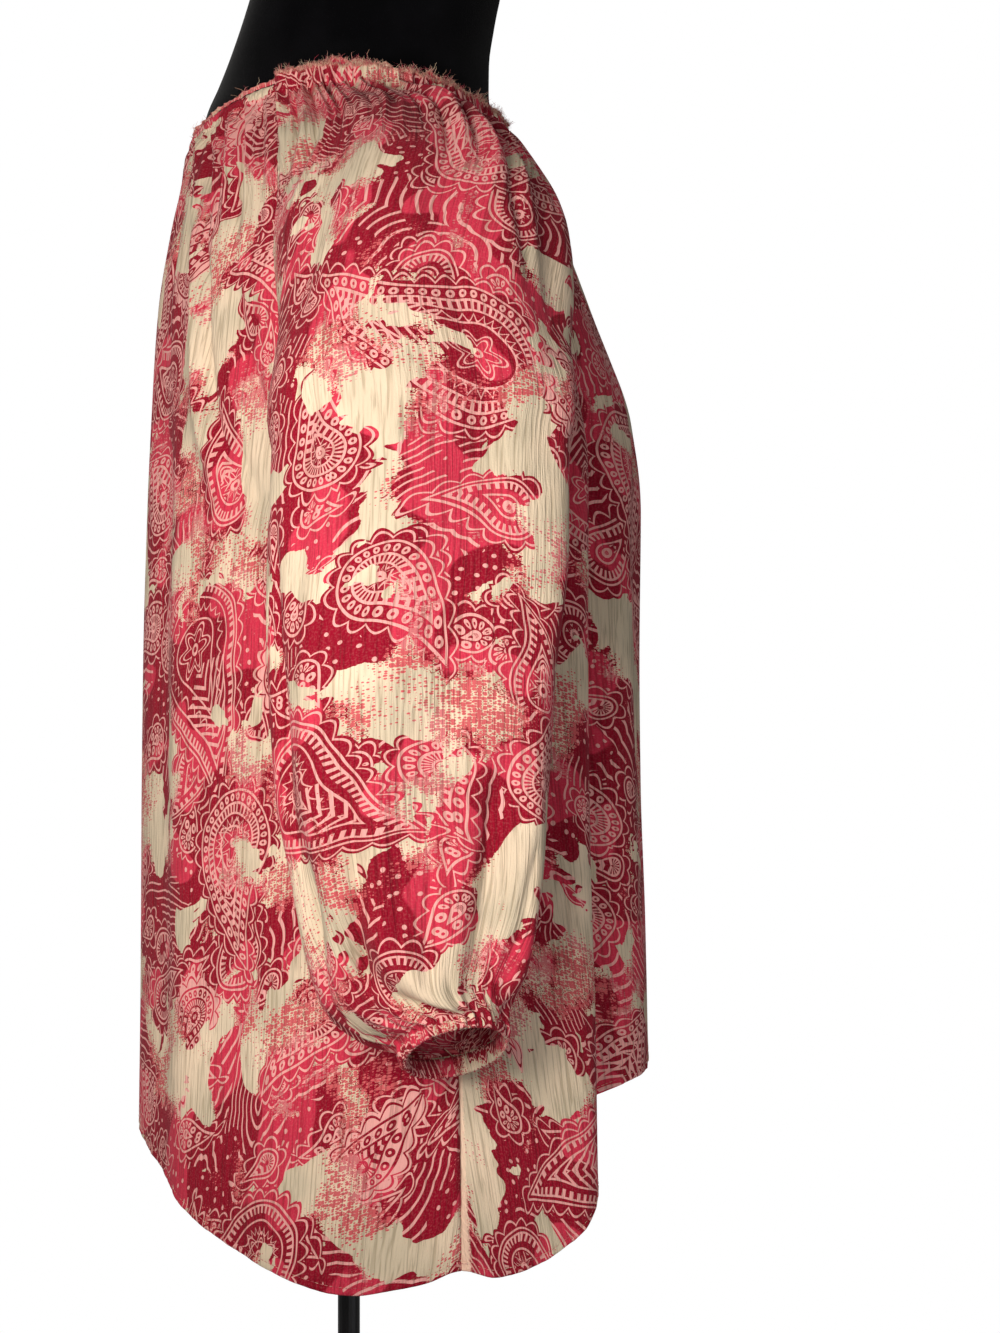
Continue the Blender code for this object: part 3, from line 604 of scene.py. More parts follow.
paisley = paisleyGroup()
chiffon = {
    "crimson": "#9A0526", "rose": "#D4344E", "coral": "#D8606E", "cream": "#F0DABD", "thread": "#F2B0A8",
    "greyCream": "#D8C8AC", "paintedCreaseShade": "#8C7F64", "wornEdge": "#D98F80", "paintedHighlightStrip": "#FFDFC2",
    "roughness": 0.88, "through": 0.24, "bump": 0.0011,
    # the drawing: its scale, how it wobbles, and the layers' spacing and shift
    "drawingScale": 0.80, "swayPitch": 38, "sway": (10, 10, 0),
    "layers": ((128, (0, 0, 0)), (70, (311, 97, 0)), (37, (57, 733, 0))),
    # between the motifs: echo lines above one level of the zone field, seeds below another
    "echoPitch": 2.6, "echoLine": 0.65, "echoAbove": 0.47, "seedPitch": 6.2, "seedSize": 0.15,
    "seedBelow": 0.42, "swapAbove": 0.82,
    # size and detail of the uneven fields: zone, grain, softness, tone
    "fields": ((40, 1.0), (1.1, 1.0), (44, 1.5), (46, 1.0)),
    # the torn patches: size, the level of their edge, and how much further each layer's motifs reach
    "tornPitch": 50, "tornEdge": 0.500, "reach": (0.085, 0.085, 0.045),
    "dash": (2.2, 1.4), "dashPale": 0.45, "dashFar": 0.85, "crinkle": (1.5, 32), "crepe": 0.18,
    # ramps over a field: where each begins and ends, and between which shares
    "softness": (0.47, 0.57, 0.006, 0.20), "rosy": (0.540, 0.556), "greyer": (0.35, 0.65),
    "speck": (0.45, 0.75, 0.0, 0.08), "cover": (0.42, 0.58, 0.05, 0.62), "shade": (0.33, 0.50, 0.40, 0.0),
    "worn": (1.6, 5.2, 0.85, 0.0), "strip": (1.25, 1.6, 0.85, 0.0), "smear": 0.85,
}


def printedChiffon(name, raw=False):
    material, put = newMaterial(name)
    c = chiffon
    inks = {title: hexColour(shade) for title, shade in c.items() if isinstance(shade, str)}
    flat = put("VectorMath SCALE", {0: put("UVMap", uv_map="cloth"), 3: perMetre})
    # hand drawn: the whole drawing wobbles a little
    sway = put("TexNoise", {"Vector": flat, "Scale": 1 / c["swayPitch"], "Detail": 1.0}, out=1,
               noise_dimensions="2D")
    sway = put("VectorMath SUBTRACT", [sway, (0.5, 0.5, 0.5)])
    drawn = put("VectorMath MULTIPLY_ADD", [sway, c["sway"], flat])
    drawn = put("VectorMath SCALE", {0: drawn, 3: c["drawingScale"]})
    layers = []
    for spacing, shift in c["layers"]:
        sockets = {"Place": drawn, "Spacing": spacing, "Shift": shift}
        layers.append(put("Group", sockets, out=None, node_tree=paisley).outputs)
    big, middle, small = layers
    zone, grain, soft, tone = (
        put("TexNoise", {"Vector": flat, "Scale": 1 / pitch, "Detail": detail}, noise_dimensions="2D")
        for pitch, detail in c["fields"])
    # between the motifs: echo lines round the middle ones, plain ground, or scattered seeds
    echo = put("Math PINGPONG", [middle["Depth"], c["echoPitch"]])
    echo = put("Math LESS_THAN", [echo, c["echoLine"]])
    echo = put("Math MULTIPLY", [echo, put("Math GREATER_THAN", [zone, c["echoAbove"]])])
    seeds = put("TexVoronoi", {"Vector": drawn, "Scale": 1 / c["seedPitch"], "Randomness": 0.7},
                voronoi_dimensions="2D")
    seeds = put("Math LESS_THAN", [seeds, c["seedSize"]])
    seedZone = put("Math LESS_THAN", [zone, c["seedBelow"]])
    line = put("Math MULTIPLY_ADD", [seeds, seedZone, echo])
    for layer in (small, middle, big):
        line = put("Mix", {0: layer["Body"], 2: line, 3: layer["Line"]})
    # some motifs are drawn the other way round, crimson lines on a pale ground
    swap = put("Mix", {0: middle["Body"], 2: 0.0, 3: middle["Own"]})
    swap = put("Math GREATER_THAN", [swap, c["swapAbove"]])
    line = put("Math ABSOLUTE", [put("Math SUBTRACT", [line, swap])])
    # dashes: where the screen was nearly dry, the ink took only on the raised threads of the crepe
    dashes = put("VectorMath MULTIPLY", [flat, (1 / c["dash"][0], 1 / c["dash"][1], 0)])
    dashes = put("TexVoronoi", {"Vector": dashes, "Scale": 1.0, "Randomness": 0.6}, out=None,
                 voronoi_dimensions="2D").outputs
    dotty = put("Math MULTIPLY", [put("SeparateColor", [dashes["Color"]]), c["dashPale"]])
    dotty = put("Math MULTIPLY_ADD", [dashes["Distance"], c["dashFar"], dotty])
    # the torn patches in which the drawing shows; some edges break up into dashes
    patch = put("TexNoise", {"Vector": drawn, "Scale": 1 / c["tornPitch"], "Detail": 3.0, "Roughness": 0.55,
                             "Distortion": 0.3}, noise_dimensions="2D")
    edge = c["tornEdge"]
    for layer, reach in zip(layers, c["reach"]):
        edge = put("Math MULTIPLY_ADD", [layer["Body"], -reach, edge])
    softness = put("MapRange", [soft, *c["softness"]])
    shake = put("Math SUBTRACT", [dotty, 0.5])
    patchEdge = put("Math MULTIPLY_ADD", [shake, softness, patch])
    inPatch = put("Math GREATER_THAN", [patchEdge, edge])
    ink = put("Math MULTIPLY", [inPatch, put("Math SUBTRACT", [1.0, line])])
    # colours: crimson, or rose where the ink is thin, with a sharp change between the two
    rosy = put("MapRange", [tone, *c["rosy"]])
    inkColour = put("Mix", {0: rosy, 6: inks["crimson"], 7: inks["rose"]}, **inColour)
    speck = put("MapRange", [grain, *c["speck"]])
    inkColour = put("Mix", {0: speck, 6: inkColour, 7: inks["thread"]}, **inColour)
    greyer = put("MapRange", [zone, *c["greyer"]])
    ground = put("Mix", {0: greyer, 6: inks["cream"], 7: inks["greyCream"]}, **inColour)
    # smears of dashes on the bare cream
    cover = put("MapRange", [soft, *c["cover"]])
    smear = put("Math MULTIPLY", [put("Math LESS_THAN", [dotty, cover]), c["smear"]])
    dashColour = put("Mix", {0: rosy, 6: inks["rose"], 7: inks["coral"]}, **inColour)
    ground = put("Mix", {0: smear, 6: ground, 7: dashColour}, **inColour)
    ground = put("Mix", {0: inPatch, 6: ground, 7: inks["thread"]}, **inColour)
    colour = put("Mix", {0: ink, 6: ground, 7: inkColour}, **inColour)
    # crinkle: fine upright creases about 1.5 mm apart, and the crepe grain between them
    tall = put("VectorMath MULTIPLY", [flat, (1 / c["crinkle"][0], 1 / c["crinkle"][1], 0)])
    crinkle = put("TexNoise", {"Vector": tall, "Scale": 1.0, "Detail": 2.0, "Distortion": 0.7},
                  noise_dimensions="2D")
    # painted shade: the colour darkens along the crinkle's fine creases
    shade = put("MapRange", [crinkle, *c["shade"]])
    colour = put("Mix", {0: shade, 6: colour, 7: inks["paintedCreaseShade"]}, blend_type="MULTIPLY", **inColour)
    if raw:
        # at a raw edge the weave has opened and the print has rubbed to a tan pink
        measures = put("SeparateXYZ", [put("UVMap", uv_map="raw")], out=None).outputs
        far = put("Math MULTIPLY", [measures[0], perMetre])
        worn = put("Math MULTIPLY_ADD", [grain, 5.0, far])
        worn = put("MapRange", [worn, *c["worn"]])
        colour = put("Mix", {0: worn, 6: colour, 7: inks["wornEdge"]}, **inColour)
        # the strip beside the side seam is painted paler, a painted highlight where the lifted cloth catches
        # the light
        beside = put("Math MULTIPLY_ADD", [grain, 0.8, measures[1]])
        strip = put("MapRange", [beside, *c["strip"]])
        colour = put("Mix", {0: strip, 6: colour, 7: inks["paintedHighlightStrip"]}, **inColour)
    height = put("Math MULTIPLY_ADD", [grain, c["crepe"], crinkle])
    bump = put("Bump", {"Strength": 0.8, "Distance": c["bump"], "Height": height})
    shader = put("BsdfPrincipled", {"Base Color": colour, "Roughness": c["roughness"], "Normal": bump,
                                    "Specular IOR Level": 0.15, "Sheen Weight": 0.04,
                                    "Sheen Roughness": 0.5})
    glow = put("BsdfTranslucent", {"Color": colour, "Normal": bump})
    put("OutputMaterial", [put("MixShader", [c["through"], shader, glow])])
    return material


printed = printedChiffon("crinkle chiffon, printed")
printedRaw = printedChiffon("crinkle chiffon, raw edge", raw=True)
print("cloth materials made")


# over the sleeves and the front the gathered cloth is carried up over the casing to its raw edge, and it
# calms on its way; at the back it ends on the casing
collar = {"out": 0.0026, "fade": 0.014, "tall": 0.0128, "rows": 11, "over": 0.0021, "calm": 0.78,
          "calmAt": 0.8, "backOut": 0.0017, "backTall": 0.0021, "backRows": 4, "backCalm": 0.6,
          "backReach": 0.005, "backEnd": 72, "backFade": 14}
upward = np.array([0, 0, 1.0])


def neckRing(turn):
    ring = torso(0.0, turn)
    out = ring - np.array([0, 0.0015, 0])
    out[:, 2] = 0
    return ring, unit(out)


def atBack(turn):
    # 1 over the back neck, 0 over the sleeves and the front
    fromBack = np.abs((turn + 90 + 180) % 360 - 180)
    return ease((collar["backEnd"] - fromBack) / collar["backFade"])


def addCollar(points, ring, out, push):
    # the gathers flatten towards the raw edge, which is uneven and crumples a little
    c = collar
    share = np.linspace(0, 1, len(push))
    tall = c["tall"] * (1 + 0.08 * wander(share, 0.4, 5) + 0.05 * wander(share, 1.7, 17))
    rows = []
    for up in np.linspace(1, 1 / c["rows"], c["rows"]):
        lean = c["out"] + (c["over"] - c["out"]) * up ** 3
        calm = ease(up / c["calmAt"])
        crumple = 0.0009 * wander(share, 2.0 + 0.5 * up, 19) + 0.0004 * wander(share, 1.1, 47)
        wave = push * (1 - c["calm"] * calm) + crumple * calm
        rows.append(ring + out * (lean + wave)[:, None] + upward * (tall * up)[:, None])
    return np.concatenate([np.array(rows), points])


def addBackCollar(points, ring, out, push):
    c = collar
    rows = []
    for up in np.linspace(1, 1 / c["backRows"], c["backRows"]):
        stand = c["backOut"] + push * (1 - c["backCalm"] * up)
        rows.append(ring + out * stand[:, None] + upward * (c["backTall"] * up))
    return np.concatenate([np.array(rows), points])


# an elastic band in a narrow tunnel draws each cuff in, and the sleeve's cloth is carried down over it;
# profile: down the outside, round the edge and up the inside, as share of the fall and swell
cuff = {"gap": 0.0007, "tucks": 74, "perTuck": 7, "tuckDepth": 0.0005, "cloth": 0.36, "fall": 0.0093,
        "rise": 0.0030, "rows": 8, "over": 0.0012, "calm": 0.35,
        "profile": ((0.0, 0.0004), (0.16, 0.0009), (0.34, 0.0013), (0.52, 0.0013), (0.70, 0.0011),
                    (0.84, 0.0009), (0.94, 0.0006), (1.0, -0.0001), (0.95, -0.0008), (0.86, -0.0010),
                    (0.68, -0.0012), (0.48, -0.0012), (0.28, -0.0011), (0.10, -0.0009))}


def cuffWays(ring, centre):
    # outward all round the wrist, and down the arm
    drop = np.cross(ring[len(ring) // 4] - centre, ring[len(ring) // 2] - centre)
    drop *= -np.sign(drop[2]) / np.linalg.norm(drop)
    return unit(ring - centre), drop


def cuffFall(angle):
    # the cuff rides up a little at the outside of the wrist
    return cuff["fall"] - cuff["rise"] * np.cos(np.radians(angle))


def addCuffEnd(points, ring, out, drop, push):
    c = cuff
    rows = []
    fall = cuffFall(np.linspace(-180, 180, len(push)))
    for down in np.linspace(1 / c["rows"], 1, c["rows"]):
        lean = collar["out"] + (c["over"] - collar["out"]) * down ** 5
        stand = lean + push * (1 - c["calm"] * down)
        rows.append(ring + out * stand[:, None] + drop * (fall * down)[:, None])
    return np.concatenate([points, np.array(rows)])


# how far the cloth goes on past a seam and how deep it lies there, how the seam dips and puckers, how the
# hem is rolled (down, in), and its stitches
seam = {"allowance": 0.0055, "atNeck": 0.0015, "turned": 0.0004, "under": 0.0011,
        "steps": ((0.15, 0.5), (0.45, 1.0), (1.0, 1.1)), "dip": (0.0007, 0.0013),
        "pucker": (0.0006, 0.007, 0.0098),
        "roll": ((0.0005, 0.0002), (0.0008, 0.0008), (0.0003, 0.0014), (-0.0020, 0.0015), (-0.0042, 0.0013)),
        "stitchUp": 0.0034, "stitchPitch": 0.0026, "stitchLong": 0.0018, "stitchThick": 0.00019,
        "stitchStand": 0.00008, "seed": 3}


def seamPush(distance, height, run):
    # the edge dips into the seam, and the stitching puckers the cloth beside it
    deep, wide = seam["dip"]
    dip = -deep * np.exp(-((distance / wide) ** 2))
    deep, wide, pitch = seam["pucker"]
    pucker = deep * np.sin(2 * math.pi * height / pitch + 2 * np.sin(height * 130))
    return dip + pucker * np.exp(-((distance / wide) ** 2)) * ease(run / 0.02)


def addAllowance(points, uv, first, last, middle):
    # the cloth goes on under the piece that it is sewn to; first and last are how far, at each row
    n = outward(points, middle)
    sides = []
    for edge, inside, far in ((0, 1, first), (-1, -2, last)):
        way = unit(points[:, edge] - points[:, inside])
        sign = np.sign(uv[:, edge, 0] - uv[:, inside, 0])
        columns, flats = [], []
        for share, deep in seam["steps"]:
            beyond = points[:, edge] + way * (far * share)[:, None]
            columns.append(beyond - n[:, edge] * seam["under"] * deep)
            flats.append(np.stack([uv[:, edge, 0] + sign * far * share, uv[:, edge, 1]], axis=-1))
        sides.append((columns, flats))
    before, after = sides
    points = np.stack([*before[0][::-1], *points.transpose(1, 0, 2), *after[0]], axis=1)
    uv = np.stack([*before[1][::-1], *uv.transpose(1, 0, 2), *after[1]], axis=1)
    return points, uv


def addHem(points, uv, middle):
    # the hem is rolled to the inside, and its stitches run along the outside
    n = outward(points, middle)[-1]
    down = unit(points[-1] - points[-2])
    line = points[-1] - down * seam["stitchUp"] + n * seam["stitchStand"]
    rows = [points[-1] + down * low - n * deep for low, deep in seam["roll"]]
    points = np.concatenate([points, np.array(rows)])
    walk = runs(points[-len(rows) - 1:])[1:]
    flats = np.stack([np.broadcast_to(uv[-1, :, 0], walk.shape), uv[-1, :, 1] - walk], axis=-1)
    return points, np.concatenate([uv, flats]), line


bodyPanels = {
    "front": {"column": 1, "sign": 1, "seed": 0.4, "gathers": 14, "columns": 188,
              "sets": ((24, 0.0024, 0.110), (42, 0.0011, 0.040), (70, 0.0004, 0.011)), "print": (0.75, 0.3)},
    "back": {"column": 2, "sign": -1, "seed": 1.3, "gathers": 17, "columns": 232,
             "sets": ((32, 0.0021, 0.100), (60, 0.0011, 0.036), (104, 0.0006, 0.010)), "print": (1.35, 0.0)},
}
# rows down to the underarm and below it, and those of the hem
bodyRows = {"top": 66, "crowd": 1.35, "low": 80, "hem": (7.9, 7.928, 7.946, 7.957, 7.966, 7.975, 7.988, 8.0)}
drape = {"levels": (0.4, 2, 4, 8), "depths": (0.0, 0.0014, 0.0022, 0.0012)}
hemLook = {"dent": 0.0003, "dentWide": 0.0012, "ripple": 0.0005, "ripples": 26, "rippleTall": 0.008}
# share of a panel's width over which its folds and gathers grow from the seam; folds: by level
edgeFade = {"gathers": 0.02, "body": 0.06, "sleeve": 0.07, "folds": ((2, 3.6, 5), (0.10, 0.16, 0.06))}
bodyMiddle = np.array([0, -0.02, 0.6])
sleeveAside = np.array([0.02, 0, -0.02])
mirror = np.array([-1.0, 1, 1])


def spacedRows(first, last, count, crowd=1.0):
    return first + (last - first) * np.linspace(0, 1, count + 1) ** crowd


def bodyPanel(name, creases):
    p, r, h = bodyPanels[name], bodyRows, hemLook
    isFront = name == "front"
    top = spacedRows(0, underarm, r["top"], r["crowd"])
    low = spacedRows(underarm, r["hem"][0], r["low"])
    levels = np.concatenate([top, low[1:], r["hem"][1:]])
    level = levels[:, None]
    edge = seamAngle(level, p["column"])
    share = np.linspace(0, 1, p["columns"] + 1)[None, :]
    angle = edge + (p["sign"] * 180 - 2 * edge) * share
    base = torso(level, angle)
    run = runs(base)
    flat = unit(outward(base, bodyMiddle) * np.array([1, 1, 0.15]))
    fromEdge = np.minimum(share, 1 - share)
    nearSeam = ease(fromEdge / edgeFade["gathers"])
    push = torsoFolds(level, angle) * ease(fromEdge / np.interp(level, *edgeFade["folds"]))
    # the same shallow drape as the solid has
    count = p["gathers"] // 2
    turn = 2 * math.pi * (share * count + 0.22 * np.sin(2 * math.pi * share * 2.3 + p["seed"]))
    turn = turn + 0.25 * np.sin(0.6 * level + p["seed"])
    depth = np.interp(level, drape["levels"], drape["depths"])
    uneven = 0.7 + 0.3 * np.sin(2 * math.pi * share * (count - 1) * 0.37 + 3 * p["seed"])
    push = push + depth * uneven * np.sin(turn) * ease(fromEdge / edgeFade["body"])
    push = addGathers(push, share, run, p["sets"], p["seed"], nearSeam)
    push = addCreases(push, base, share, run, creases)
    # the stitches draw the hem in, and it ripples a little
    fromHem = run[-1:] - run
    push = push - h["dent"] * np.exp(-(((fromHem - seam["stitchUp"]) / h["dentWide"]) ** 2))
    ripple = h["ripple"] * wander(share, p["seed"], h["ripples"])
    push = push + ripple * np.exp(-((fromHem / h["rippleTall"]) ** 2)) * nearSeam
    ring, out = neckRing(angle[0])
    back = atBack(angle[0])
    push = push * (1 - collar["backCalm"] * back * np.exp(-((run / collar["backReach"]) ** 2)))
    points = drawIn(base + flat * push[..., None], cloth["seamGap"] / 2)
    stand = collar["out"] * (1 - back) + collar["backOut"] * back
    points += out[None] * (stand * np.exp(-((run / collar["fade"]) ** 1.5)))[..., None]
    points = (addCollar if isFront else addBackCollar)(points, ring, out, push[0])
    extra = len(points) - len(levels)
    tall = collar["tall"] if isFront else collar["backTall"]
    uv = clothPlaces(base, share, (tall, extra), (0, 0), p["print"], (cloth["neckSurplus"], 0.0))
    # the front goes under the sleeves and the back, the back goes under the sleeves
    wide = seam["allowance"]
    atSide = wide if isFront else seam["turned"]
    far = np.interp(levels, [0, 0.6, 3.85, 4.0], [seam["atNeck"], wide, wide, atSide])
    far = np.concatenate([np.full(extra, seam["turned"]), far])
    points, uv = addAllowance(points, uv, far, far, bodyMiddle)
    return addHem(points, uv, bodyMiddle)


sleeveSizes = {"columns": 216, "topRows": 60, "topCrowd": 1.3, "lowRows": 104, "lowCrowd": 0.92,
               "edgePull": 5, "squeeze": 0.7,
               "sets": ((17, 0.0030, 0.120), (30, 0.0015, 0.046), (56, 0.0005, 0.012)),
               "cuffSets": ((20, 0.0017, 0.048), (36, 0.0011, 0.022), (54, 0.0006, 0.010))}


def sleevePanel(seed, shift, creases):
    p = sleeveSizes
    top = spacedRows(0, underarm, p["topRows"], p["topCrowd"])
    low = spacedRows(underarm, wrist, p["lowRows"], p["lowCrowd"])[1:]
    stations = np.concatenate([top, low])
    station = stations[:, None]
    back, front = through(sleeveStations, 8, station), through(sleeveStations, 9, station)
    share = np.linspace(0, 1, p["columns"] + 1)[None, :]
    angle = -back + (back + front) * share
    base = sleevePoint(station, angle)
    # the top meets the neckline, and its two edges meet the body's seams and then each other
    base += (1 - ease(station / 1.2))[..., None] * (torso(0.0, angle[0]) - base[0])[None]
    step = np.array([-1.0, 0, 0]) * cloth["underarmStep"] * ease((top - 2.4) / 1.6)[:, None]
    backSeam, frontSeam = (torso(top, through(raglanSeams, column, top)) + step for column in (2, 1))
    k = len(top)
    nearBack, nearFront = (1 - share[0]) ** p["edgePull"], share[0] ** p["edgePull"]
    base[:k] += nearBack[None, :, None] * (backSeam - base[:k, 0])[:, None]
    base[:k] += nearFront[None, :, None] * (frontSeam - base[:k, -1])[:, None]
    fade = (1 - ease((low - underarm) / 1.5))[:, None, None]
    shiftAt = base[k - 1, 0] - sleevePoint(underarm, -180)
    base[k:] += fade * (nearBack + nearFront)[None, :, None] * shiftAt
    run = runs(base)
    upRun = run[-1:] - run
    middle = base.mean(axis=1, keepdims=True)
    n = outward(base, middle + sleeveAside)
    fromEdge = np.minimum(share, 1 - share)
    nearSeam = ease(fromEdge / edgeFade["gathers"])
    push = foldsOfSleeve(station, angle) * ease(station / 0.5) * ease(fromEdge / edgeFade["sleeve"])
    push = addGathers(push, share, run, p["sets"], seed, nearSeam)
    push = addGathers(push, share, upRun, p["cuffSets"], seed + 4, nearSeam, p["squeeze"])
    push = addCreases(push, base, share, run, creases)
    points = drawIn(base + n * push[..., None], cloth["seamGap"] / 2)
    ring, out = neckRing(angle[0])
    points += out[None] * (collar["out"] * np.exp(-((run / collar["fade"]) ** 1.5)))[..., None]
    cuffOut, drop = cuffWays(base[-1], (base[-1].min(axis=0) + base[-1].max(axis=0)) / 2)
    points += cuffOut[None] * (collar["out"] * np.exp(-((upRun / collar["fade"]) ** 1.5)))[..., None]
    points = addCollar(points, ring, out, push[0])
    points = addCuffEnd(points, base[-1], cuffOut, drop, push[-1])
    above, below = collar["rows"], cuff["rows"]
    uv = clothPlaces(base, share, (collar["tall"], above), (cuff["fall"], below), shift,
                     (cloth["neckSurplus"], cloth["cuffSurplus"]))
    # under the arm one edge goes under the other
    turned = seam["turned"]
    far = np.interp(stations, [4.0, 4.15], [turned, seam["allowance"]])
    far = np.concatenate([np.full(above, turned), far, np.full(below, turned)])
    around = np.concatenate([middle[:1].repeat(above, axis=0), middle, middle[-1:].repeat(below, axis=0)])
    return addAllowance(points, uv, far, np.full(len(far), turned), around + sleeveAside)


# creases laid one by one: (run, share) from end to end, half width in share, push
sleeveCreases = [
    ([(0.0, 0.505), (0.06, 0.500), (0.15, 0.507)], 0.010, -0.0050),
    ([(0.0, 0.533), (0.06, 0.529), (0.14, 0.536)], 0.010, 0.0034),
    ([(0.0, 0.566), (0.07, 0.556), (0.16, 0.572)], 0.010, -0.0052),
    ([(0.0, 0.598), (0.07, 0.588), (0.15, 0.603)], 0.010, 0.0036),
    ([(0.0, 0.634), (0.07, 0.618), (0.15, 0.632), (0.19, 0.680), (0.235, 0.725)], 0.012, -0.0062),
    ([(0.0, 0.672), (0.07, 0.652), (0.15, 0.668), (0.19, 0.716), (0.240, 0.760)], 0.013, 0.0040),
    ([(0.0, 0.712), (0.07, 0.690), (0.14, 0.705)], 0.010, -0.0050),
    ([(0.0, 0.745), (0.07, 0.722), (0.13, 0.735)], 0.010, 0.0030),
    ([(0.0, 0.780), (0.07, 0.752), (0.15, 0.765)], 0.011, -0.0048),
    ([(0.0, 0.850), (0.07, 0.822), (0.14, 0.830)], 0.010, -0.0044),
    ([(0.0, 0.905), (0.05, 0.880), (0.11, 0.880)], 0.009, -0.0036),
    ([(0.0, 0.455), (0.05, 0.452), (0.10, 0.452)], 0.010, -0.0034),
    ([(0.0, 0.395), (0.04, 0.392), (0.08, 0.390)], 0.010, -0.0028),
    ([(0.0, 0.330), (0.04, 0.322), (0.09, 0.316)], 0.010, -0.0030),
    ([(0.0, 0.235), (0.04, 0.225), (0.08, 0.215)], 0.010, -0.0030),
    ([(0.0, 0.165), (0.05, 0.150), (0.11, 0.140)], 0.011, -0.0042),
    ([(0.0, 0.130), (0.05, 0.115), (0.10, 0.105)], 0.010, 0.0028),
    ([(0.0, 0.095), (0.04, 0.080), (0.08, 0.070)], 0.010, -0.0036),
    # from the lower back of the sleeve into the cuff, and the folds that fan up out of the cuff
    ([(0.45, 0.425), (0.53, 0.415), (0.58, 0.395), (0.63, 0.355)], 0.014, -0.0066),
    ([(0.44, 0.468), (0.53, 0.455), (0.58, 0.438), (0.63, 0.400)], 0.016, 0.0044),
    ([(0.50, 0.520), (0.55, 0.510), (0.60, 0.500)], 0.012, -0.0034),
    ([(0.46, 0.610), (0.54, 0.590), (0.60, 0.570)], 0.014, -0.0046),
    ([(0.49, 0.680), (0.55, 0.660), (0.60, 0.640)], 0.013, -0.0038),
    ([(0.50, 0.330), (0.56, 0.310), (0.60, 0.290)], 0.013, -0.0036),
    # slack down the middle of the sleeve
    ([(0.22, 0.370), (0.34, 0.360), (0.46, 0.345)], 0.022, -0.0044),
    ([(0.16, 0.560), (0.28, 0.575), (0.42, 0.600)], 0.026, -0.0032),
    ([(0.18, 0.470), (0.30, 0.475), (0.42, 0.490)], 0.024, 0.0028),
    ([(0.30, 0.300), (0.40, 0.296), (0.52, 0.300)], 0.014, -0.0036),
]
backCreases = [
    ([(0.0, 0.050), (0.04, 0.046), (0.10, 0.040)], 0.010, -0.0040),
    ([(0.0, 0.105), (0.05, 0.100), (0.12, 0.092)], 0.010, -0.0046),
    ([(0.0, 0.137), (0.05, 0.133), (0.11, 0.127)], 0.010, 0.0026),
    ([(0.0, 0.170), (0.05, 0.166), (0.10, 0.158)], 0.010, -0.0036),
    ([(0.0, 0.250), (0.06, 0.207), (0.12, 0.165), (0.20, 0.180), (0.30, 0.205)], 0.011, -0.0056),
    ([(0.0, 0.285), (0.06, 0.245), (0.12, 0.200), (0.20, 0.214), (0.30, 0.236)], 0.012, 0.0034),
    ([(0.0, 0.340), (0.05, 0.335), (0.12, 0.325)], 0.011, -0.0040),
    ([(0.0, 0.455), (0.04, 0.452), (0.10, 0.450)], 0.010, -0.0038),
    ([(0.0, 0.560), (0.05, 0.563), (0.14, 0.566)], 0.011, -0.0046),
    ([(0.0, 0.690), (0.04, 0.692), (0.12, 0.695)], 0.010, -0.0042),
    ([(0.0, 0.800), (0.05, 0.802), (0.13, 0.806)], 0.011, -0.0048),
    ([(0.0, 0.900), (0.05, 0.906), (0.12, 0.914)], 0.010, -0.0044),
    ([(0.0, 0.955), (0.04, 0.958), (0.09, 0.960)], 0.009, -0.0034),
    ([(0.10, 0.090), (0.26, 0.084), (0.46, 0.078)], 0.014, -0.0040),
    ([(0.14, 0.165), (0.30, 0.160), (0.52, 0.150)], 0.016, -0.0040),
    ([(0.12, 0.845), (0.28, 0.850), (0.50, 0.860)], 0.016, -0.0040),
    # the seam allowance lifts the edge of the back above the hem
    ([(0.555, 0.010), (0.60, 0.007), (0.64, 0.008), (0.70, 0.012)], 0.009, 0.0026),
]
frontCreases = [
    ([(0.0, 0.060), (0.03, 0.066), (0.09, 0.075)], 0.011, -0.0040),
    ([(0.0, 0.140), (0.04, 0.146), (0.12, 0.158)], 0.012, -0.0048),
    ([(0.0, 0.240), (0.04, 0.246), (0.11, 0.256)], 0.011, -0.0042),
    ([(0.0, 0.350), (0.04, 0.354), (0.14, 0.360)], 0.012, -0.0050),
    ([(0.0, 0.395), (0.04, 0.398), (0.11, 0.402)], 0.011, 0.0028),
    ([(0.0, 0.450), (0.05, 0.452), (0.15, 0.455)], 0.011, -0.0046),
    ([(0.0, 0.545), (0.05, 0.543), (0.15, 0.540)], 0.011, -0.0048),
    ([(0.0, 0.650), (0.04, 0.645), (0.13, 0.638)], 0.012, -0.0048),
    ([(0.0, 0.700), (0.04, 0.694), (0.11, 0.688)], 0.011, 0.0028),
    ([(0.0, 0.765), (0.04, 0.757), (0.11, 0.748)], 0.011, -0.0044),
    ([(0.0, 0.865), (0.04, 0.856), (0.13, 0.842)], 0.012, -0.0048),
    ([(0.0, 0.940), (0.03, 0.934), (0.09, 0.924)], 0.011, -0.0038),
]


frontPoints, frontUV, frontHem = bodyPanel("front", frontCreases)
backPoints, backUV, backHem = bodyPanel("back", backCreases)
rightPoints, rightUV = sleevePanel(0.9, (4.1, 0.788), sleeveCreases)
leftPoints, leftUV = sleevePanel(2.1, (3.0, 0.6), sleeveCreases)
leftPoints = leftPoints * mirror
sleeveMiddle = rightPoints.mean(axis=1, keepdims=True) + sleeveAside

